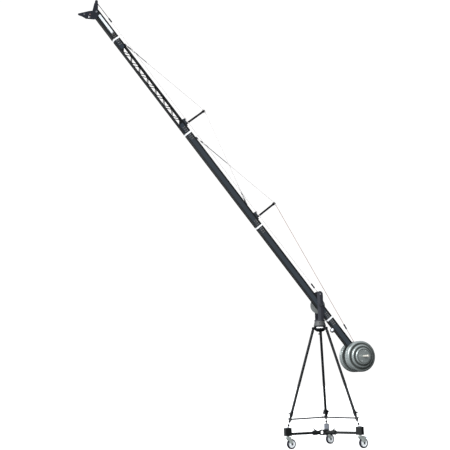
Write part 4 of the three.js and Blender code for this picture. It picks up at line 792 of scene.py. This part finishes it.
def painted_edge_shade(finish, cut=False):
    """Paints shade on an arm finish along its top and bottom edges, by the height above the arm's own middle,
    and darkens it all over where the lattice is cut."""
    tree = finish.node_tree
    axes = added(tree, "SeparateXYZ")
    edge_shade = added(tree, "Math", operation="MAXIMUM")
    blend = added(tree, "Mix", {7: (*shade_and_cut_black, 1)}, data_type="RGBA")
    wired(
        tree,
        (tree.nodes["own_axes"], "Vector", axes, "Vector"),
        (tree.nodes["cloud_colours"], "Color", blend, 6),
        (blend, 2, tree.nodes["Principled BSDF"], "Base Color"), (edge_shade, "Value", blend, 0),
    )
    for socket, (start, full) in enumerate((upper_shade_band, lower_shade_band)):
        edge_rise = added(tree, "MapRange", {"From Min": start, "From Max": full})
        wired(tree, (axes, "Z", edge_rise, "Value"), (edge_rise, "Result", edge_shade, socket))
    if cut:
        from_middle = added(tree, "Math", {1: cut_middle})
        distance = added(tree, "Math", operation="ABSOLUTE")
        inside = added(tree, "MapRange", {"From Min": cut_half, "From Max": cut_half - cut_blur})
        both = added(tree, "Math", operation="MAXIMUM")
        wired(
            tree,
            (axes, "X", from_middle, 0), (from_middle, "Value", distance, 0),
            (distance, "Value", inside, "Value"), (inside, "Result", both, 0), (edge_shade, "Value", both, 1),
            (both, "Value", blend, 0),
        )


painted_edge_shade(arm_grey)
painted_edge_shade(tip_grey)
painted_edge_shade(lattice_black, cut=True)
for part, finish, edge_finish in (
    ("rear", arm_grey, arm_edge), ("pivot", arm_grey, arm_edge), ("middle", arm_grey, arm_edge),
    ("lattice", lattice_black, lattice_edge), ("tip", tip_grey, lattice_edge),
):
    eased("arm_section_" + part, "arm", (finish, edge_finish), 0.0007)


# Joint splices: bright machined bands between the sections, on sleeves that go into both tubes.
# Two rows of socket screws on each side of a band hold the tubes on the sleeve, on both faces.
band_bright = coated("band_bright", (0.95, 0.96, 0.97), (0.89, 0.90, 0.91), 0.35, metal=0.08, patch=30)
screw_grey = coated("screw_grey", (0.22, 0.21, 0.20), (0.15, 0.145, 0.14), 0.36, metal=0.4, patch=60)
arm_half_width = 0.038


def socket_screw(radius, height):
    """The head of a socket screw about z, on its seat at zero."""
    chamfer_start_share, top_share, socket_share, socket_floor_share = 0.75, 0.85, 0.48, 0.45
    socket = radius * socket_share
    return turned([
        (radius, 0), (radius, height * chamfer_start_share), (radius * top_share, height), (socket, height),
        (socket, height * socket_floor_share),
    ], 14)


splice_screw = socket_screw(0.0078, 0.0045)
for part, reach in (("rear", -0.221), ("middle", 1.303), ("front", 2.827), ("tip", 4.351)):
    eased("joint_splice_" + part, "arm", (band_bright,), 0.0006)
    screws = joined([
        copied(splice_screw, arm_place @ moved(-along, facing * arm_half_width, row) @ turn)
        for facing, turn in both_faces
        for away in (0.034, 0.062, 0.090)
        for along in (reach - away, reach + away)
        for row in (-0.013, 0.011)
    ])
    fitted("splice_screws_" + part, screws, "arm", (screw_grey,))
dropped(splice_screw)


# King posts: square black posts on stepped slate-grey blocks, screwed down, with two stay pins at the top.
# A round black grip stands on the tip's end of each block.
post_black = coated("post_black", (0.005, 0.005, 0.006), (0.003, 0.003, 0.004), 0.5, spec=0.2)
post_slate = coated("post_slate", (0.032, 0.040, 0.049), (0.026, 0.033, 0.041), 0.45, metal=0.15)
base_top, post_half, stay_pin_height, stay_pin_reach = 0.060, 0.0125, 0.382, 0.009
post_screw = socket_screw(0.005, 0.0042)
for part, reach in (("front", 2.943), ("rear", 1.415)):
    post_place = arm_place @ moved(-reach)
    block = joined([
        blocked((-0.074, -0.026, 0.0453), (0.032, 0.026, base_top), post_place),
        blocked((-0.071, -0.020, 0.059), (-0.002, 0.020, 0.0825), post_place),
    ])
    fitted("post_block_" + part, block, "arm", (post_slate,), edge=0.0012)
    head = spread(rod(0.008, -0.004, 0.004, 32), 0, stay_pin_reach)
    shifted(head, lambda point: point.y > -near_zero, (0, 0.030, 0))
    shapes = [
        blocked((-post_half, -post_half, 0.0595), (post_half, post_half, 0.370), post_place),
        placed(head, post_place @ moved(z=stay_pin_height) @ along_y),
    ]
    for pin_reach in (-stay_pin_reach, stay_pin_reach):
        shapes.append(turned([
            (0.0055, -0.0115), (0.0055, -0.0095), (0.004, -0.0095), (0.004, 0.0095), (0.0055, 0.0095),
            (0.0055, 0.0115),
        ], 24, post_place @ moved(pin_reach, z=stay_pin_height) @ along_y))
    shapes.append(turned([
        (0.0115, 0.0598), (0.0115, 0.076), (0.0132, 0.0800), (0.0142, 0.0870), (0.0142, 0.0955),
        (0.0130, 0.1015), (0.0095, 0.1060), (0.0040, 0.1080),
    ], 32, post_place @ moved(x=-0.058)))
    shapes += [
        copied(post_screw, post_place @ moved(screw_reach, screw_side, base_top))
        for screw_reach in (-0.040, 0.0275)
        for screw_side in (-0.0205, 0.0205)
    ]
    fitted(
        "post_" + part, joined(shapes), "arm", (post_black,), ["king_post_" + part],
        edge=0.0009,
    )
dropped(post_screw)


# Stays: stainless wires from lugs on the arm to the heads of the posts.
# Each has a clevis at both ends, a turnbuckle, and on the forward ones a swaged sleeve.
drawn_wire = {"grain": 1400, "bump": 0.4}
wire_steel = coated("wire_steel", (0.80, 0.77, 0.76), (0.70, 0.67, 0.66), 0.5, metal=0.1, **drawn_wire)
warm_wire = coated("warm_wire", (0.48, 0.36, 0.32), (0.38, 0.28, 0.25), 0.5, metal=0.2, **drawn_wire)
buckle_grey = coated("buckle_grey", (0.20, 0.20, 0.21), (0.13, 0.13, 0.14), 0.4, metal=0.5, patch=40)
buckle_dark = coated("buckle_dark", (0.055, 0.058, 0.066), (0.030, 0.033, 0.040), 0.4, metal=0.5, patch=40)
closed_radius = 0.011


def clevis():
    """Two round-ended ears and their neck, with the pin at the origin, facing +x."""
    ears = []
    for inner, outer in ((0.0045, 0.0085), (-0.0085, -0.0045)):
        ear = rod(0.007, inner, outer, 24)
        ears.append(placed(shifted(ear, lambda point: point.x > near_zero, (0.010, 0, 0)), along_y))
    neck = blocked((0.0145, -0.0083, -0.0066), (0.024, 0.0083, 0.0066))
    collar = turned([(0.006, 0.023), (0.0045, 0.028), (0.0028, 0.029)], 24, along_x)
    return joined([*ears, neck, collar])


def lock_nuts(start, end, radius, length):
    """The two hexagonal nuts just outside a turnbuckle's ends."""
    return [
        rod(radius, low, low + length, 6, along_x)
        for low in (start - 0.0052, end + 0.0002)
    ]


def closed_buckle(start, length):
    """A turnbuckle with a closed round body, from start along +x, with lock nuts."""
    end = start + length
    waist = closed_radius * 0.86
    body = turned([
        (0.0045, start), (closed_radius, start + 0.003), (closed_radius, start + 0.012),
        (waist, start + 0.014), (waist, end - 0.014), (closed_radius, end - 0.012),
        (closed_radius, end - 0.003), (0.0045, end),
    ], 32, along_x)
    return joined([body, *lock_nuts(start, end, 0.0062, 0.005)])


def open_buckle(start, length):
    """A turnbuckle with two side bars between its ends, from start along +x, with rods and lock nuts."""
    end = start + length
    radius, rod_share = 0.0080, 0.3
    shapes = [
        turned([
            (0.0045, start), (radius, start + 0.003), (radius, start + 0.010), (radius * 0.75, start + 0.013),
        ], 24, along_x),
        turned([
            (radius * 0.75, end - 0.013), (radius, end - 0.010), (radius, end - 0.003), (0.0045, end),
        ], 24, along_x),
    ]
    for low, high in ((-radius, -radius * 0.5), (radius * 0.5, radius)):
        shapes.append(blocked((start + 0.008, -0.0034, low), (end - 0.008, 0.0034, high)))
    for low, high in ((start - 0.004, start + length * rod_share), (end - length * rod_share, end + 0.004)):
        shapes.append(rod(0.003, low, high, 16, along_x))
    return joined([*shapes, *lock_nuts(start, end, 0.0058, 0.005)])


lug_height = 0.059
for part, anchor, side, post_pin, buckle_start, buckle_length, sleeve_start, sleeve_length in (
    ("front_fore", 4.237, 0, 2.952, 0.046, 0.174, 0.366, 0.032),
    ("front_aft", 1.629, 0.010, 2.934, 0.032, 0.152, 0, 0),
    ("rear_fore", 2.721, -0.010, 1.424, 0.073, 0.124, 0.524, 0.062),
    ("rear_aft", -0.820, 0, 1.406, 0.345, 0.070, 0, 0),
):
    closed = part == "rear_aft"
    lower_pin = Vector((-anchor, side, lug_height))
    upper_pin = Vector((-post_pin, 0, stay_pin_height))
    length = (upper_pin - lower_pin).length
    along = (upper_pin - lower_pin).normalized()
    across = (Vector((0, 1, 0)) - along * along.y).normalized()
    stay_axes = Matrix((along, across, along.cross(across))).transposed().to_4x4()
    stay_place = arm_place @ Matrix.Translation(lower_pin) @ stay_axes
    buckle_end, sleeve_end = buckle_start + buckle_length, sleeve_start + sleeve_length
    wire_shapes = [
        rod(0.0034, 0.022, buckle_start - 0.003, 16, along_x),
        rod(0.0038, buckle_end + 0.003, length - 0.022, 16, along_x),
    ]
    if sleeve_length:
        wire_shapes.append(turned([
            (0.0040, sleeve_start), (0.0058, sleeve_start + 0.004), (0.0058, sleeve_end - 0.004),
            (0.0040, sleeve_end),
        ], 20, along_x))
    fitted(
        "stay_wire_" + part, placed(joined(wire_shapes), stay_place), "arm",
        (warm_wire if closed else wire_steel,), ["stay_" + part],
    )
    head_clevis = placed(clevis(), stay_place @ moved(length) @ spun(180, "Z"))
    fitted("stay_clevis_" + part, head_clevis, "arm", (wire_steel,), edge=0.0005)
    end_shapes = [clevis(), (closed_buckle if closed else open_buckle)(buckle_start, buckle_length)]
    if sleeve_length:
        end_shapes.append(rod(0.0048, buckle_end + 0.006, sleeve_start - 0.001, 16, along_x))
    fitted(
        "stay_fittings_" + part, placed(joined(end_shapes), stay_place), "arm",
        (buckle_dark if closed else buckle_grey,), edge=0.0005,
    )


# Levelling wire: it runs beside the arm's top from the yoke's pin to the head's, and keeps the head level.
# Both ends are forged eyes with a shank and a turnbuckle.
wire_line = pan_axis @ moved(0, -0.027, 1.951) @ arm_turn @ spun(180, "Z")
wire_span = 4.772
shank_end = 0.060
wire_end_shapes = [
    turned([
        (bore, -0.006), (bore, 0.006), (0.0105, 0.006), (0.012, 0.004), (0.012, -0.004), (0.0105, -0.006),
        (bore, -0.006),
    ], 40, moved(reach) @ along_y)
    for reach, bore in ((0, 0.0063), (wire_span, 0.0070))
]
wire_end_shapes += [
    turned([(0.0045, 0.0112), (0.0045, 0.057), (0.003, shank_end)], 24, along_x),
    turned([
        (0.003, wire_span - shank_end), (0.0045, wire_span - 0.057), (0.0045, wire_span - 0.0112),
    ], 24, along_x),
    closed_buckle(0.105, 0.067),
    closed_buckle(wire_span - 0.322, 0.057),
    rod(0.0042, wire_span - 0.259, wire_span - 0.0595, 16, along_x),
]
fitted(
    "levelling_wire_fittings", placed(joined(wire_end_shapes), wire_line), "levelling_link",
    (buckle_dark,), edge=0.0005,
)
wire_runs = joined([
    rod(0.0036, start, end, 12, wire_line @ along_x)
    for start, end in ((0.058, 0.0997), (0.1775, wire_span - 0.3275))
])
fitted("levelling_wire_run", wire_runs, "levelling_link", (wire_steel,), ["levelling_wire"])


# Weight bar: a bright round bar across the arm, chamfered at its ends, with two set-screwed collars.
bar_place = arm_place @ moved(0.846, z=-0.010)
bar_steel = coated("bar_steel", (0.62, 0.60, 0.54), (0.52, 0.50, 0.46), 0.32, metal=0.35, patch=40)
bar_half, bar_radius, collar_radius = 0.330, 0.015, 0.028
bar_shapes = [turned([
    (0.0125, -bar_half), (bar_radius, -0.3275), (bar_radius, 0.3275), (0.0125, bar_half),
], 48)]
for low, high in ((0.0383, 0.0497), (-0.0497, -0.0383)):
    bar_shapes.append(turned([
        (bar_radius, low), (0.0265, low), (collar_radius, low + 0.0015), (collar_radius, high - 0.0015),
        (0.0265, high), (bar_radius, high), (bar_radius, low),
    ]))
bar = placed(joined(bar_shapes), bar_place @ along_y)
fitted("weight_bar_shaft", bar, "arm", (bar_steel,), ["weight_bar"])


# Plate weights: cast iron, turned on the rim and the outer face, sprayed with a satin grey-green enamel.
# Each side of the arm has two large, one medium and one small plate, with a groove round each face in painted
# shade.
enamel = coated(
    "weight_enamel", (0.31, 0.345, 0.34), (0.25, 0.28, 0.275), 0.25, metal=0.58, grain=260, bump=0.2,
    patch=9, spec=0.5,
)
groove_shade = coated(
    "groove_shade", (0.060, 0.068, 0.064), (0.036, 0.041, 0.039), 0.5, grain=260, bump=0.3, patch=9
)
plug_pale = coated("plug_pale", (0.42, 0.45, 0.45), (0.34, 0.37, 0.37), 0.4, metal=0.3, patch=40)
plate_bore = 0.0153
web_thickness = 0.012
groove_depth, groove_slope = 0.0035, 0.002
round_angles = (0, 13, 26, 39, 52, 65, 78, 90)


def plate_weight(radius, thickness, rim, hub, rim_round, groove_end):
    """A plate about z: its outer face upwards, with a rounded rim and a groove in painted shade, and a recess
    below.
    """
    web = thickness - web_thickness
    groove_start = radius - rim_round - groove_slope
    groove_floor = thickness - groove_depth
    corner = [
        (
            radius - rim_round + rim_round * math.cos(math.radians(angle)),
            thickness - rim_round + rim_round * math.sin(math.radians(angle)),
        )
        for angle in round_angles
    ]
    plate_shape = turned([
        (plate_bore, 0), (hub, 0), (hub, web), (radius - rim, web), (radius - rim, 0), (radius - 0.004, 0),
        (radius, 0.004), *corner, (groove_start, thickness), (groove_start - groove_slope, groove_floor),
        (groove_end + groove_slope, groove_floor), (groove_end, thickness),
        (plate_bore + 0.002, thickness), (plate_bore, thickness - 0.002), (plate_bore, 0),
    ], 128)
    for finish in (enamel, groove_shade):
        plate_shape.data.materials.append(finish)
    # Painted shade: the faces on the groove's floor take the dark finish.
    for face in plate_shape.data.polygons:
        away = math.hypot(face.center.x, face.center.y)
        if groove_end < away < groove_start and face.center.z > groove_floor - 0.001:
            face.material_index = 1
    return plate_shape


for size, start, sizes in (
    ("big_inner", 0.0500, (0.200, 0.0447, 0.022, 0.045, 0.024, 0.150)),
    ("big_outer", 0.0950, (0.200, 0.0447, 0.022, 0.045, 0.024, 0.149)),
    ("medium", 0.1400, (0.152, 0.0367, 0.018, 0.040, 0.020, 0.107)),
    ("small", 0.1770, (0.110, 0.0287, 0.014, 0.035, 0.014, 0.086)),
):
    plate = plate_weight(*sizes)
    for (facing, turn), face_name in zip(both_faces, ("near", "far")):
        weight_name = size + "_" + face_name
        weight = copied(plate, bar_place @ turn @ moved(z=start))
        fitted("plate_" + weight_name, weight, "arm", (), ["weight_" + weight_name])
    dropped(plate)
small_face = 0.1770 + 0.0287
for plug_name, across, rise in (("upper", 0.026, 0.065), ("lower", -0.030, -0.062)):
    plug = turned(
        [(0.0085, -0.0002), (0.0085, 0.0012), (0.0070, 0.0020)], 24,
        Matrix.Translation(bar_place.translation) @ moved(across, -small_face, rise) @ along_y.inverted(),
    )
    fitted("weight_plug_" + plug_name, plug, "arm", (plug_pale,))


# Ball knob: a dark brown steel ball with a painted highlight on the side towards the lights, on a stud under
# the rear section.
chrome = coated("chrome", (0.16, 0.14, 0.12), (0.12, 0.105, 0.09), 0.25, metal=0.8, bump=0.02, patch=60)
knob_place = arm_place @ moved(0.360, -0.025, -0.0725)
highlight_side = (-0.45, -0.86, 0.24)
highlight_start, highlight_full = 0.017, 0.025
highlight_colour = (0.88, 0.92, 1.0, 1)
ball_radius = 0.0310

# Painted highlight: the ball's side towards the lights is blended to a pale colour.
chrome_tree = chrome.node_tree
ball_axes = added(chrome_tree, "VectorMath", {1: knob_place.translation}, operation="SUBTRACT")
highlight_facing = added(chrome_tree, "VectorMath", {1: highlight_side}, operation="DOT_PRODUCT")
highlight_mask = added(chrome_tree, "MapRange", {"From Min": highlight_start, "From Max": highlight_full})
highlighted = added(chrome_tree, "Mix", {7: highlight_colour}, data_type="RGBA")
wired(
    chrome_tree,
    (chrome_tree.nodes["place"], "Object", ball_axes, 0), (ball_axes, "Vector", highlight_facing, 0),
    (highlight_facing, "Value", highlight_mask, "Value"), (highlight_mask, "Result", highlighted, 0),
    (chrome_tree.nodes["cloud_colours"], "Color", highlighted, 6),
    (highlighted, 2, chrome_tree.nodes["Principled BSDF"], "Base Color"),
)
bpy.ops.mesh.primitive_uv_sphere_add(segments=64, ring_count=32, radius=ball_radius)
ball = bpy.context.object
stud = turned([(0.006, 0.018), (0.006, 0.0300), (0.013, 0.0302), (0.013, 0.0342)], 40)
ball_knob = placed(joined([ball, stud]), knob_place)
fitted("chrome_ball_knob", ball_knob, "arm", (chrome,), ["arm_ball_knob"])


# Levelling head: two dark plates held apart by spacers, round the arm's tip, with the camera plate between.
# The bolts that hold the plates and the spacers show on the outer faces.
head_dark = coated("head_dark", (0.018, 0.020, 0.030), (0.012, 0.014, 0.021), 0.45, metal=0.15, spec=0.2)
head_edge = coated("head_edge", (0.020, 0.022, 0.032), (0.010, 0.012, 0.017), 0.42, metal=0.2, patch=40)
copper_steel = coated("copper_steel", (0.20, 0.13, 0.14), (0.15, 0.10, 0.10), 0.4, metal=0.4, patch=60)
eased("head_bracket", "head", (head_dark, head_edge), 0.0009)
eased("head_mounting_plate", "head", (head_dark, head_edge), 0.0009)
eased("head_hinge_pin", "arm", (dull_steel,), 0.0006)
head_hinge = moved(-1.700705, -0.015029, 5.575577)
cheek_face = 0.048
near_face, far_face = both_faces
for bolt_name, reach, drop, radius, finish, (facing, turn) in (
    ("nose_near", -0.155, -0.052, 0.0085, buckle_grey, near_face),
    ("spacer_near", -0.082, -0.046, 0.0085, copper_steel, near_face),
    ("spacer_far", -0.082, -0.046, 0.0085, copper_steel, far_face),
    ("jaw_near", -0.094, -0.083, 0.0095, bright_steel, near_face),
):
    bolt = nut(radius, 0.006, head_hinge @ moved(reach, facing * cheek_face, drop) @ turn)
    fitted("head_bolt_" + bolt_name, bolt, "head", (finish,), edge=0.0004)


# Label: a bare white plate with small rounded edges, stuck on the tip section's near side.
label_white = coated("label_white", (0.86, 0.91, 0.95), (0.78, 0.83, 0.88), 0.4, metal=0.05, patch=40)
label = beveled(blocked((-4.725, -0.0392, -0.0165), (-4.433, -0.0379, 0.0165)), 0.0008)
placed(label, arm_place @ moved(z=0.005))
fitted("label_plate", label, "arm", (label_white,))
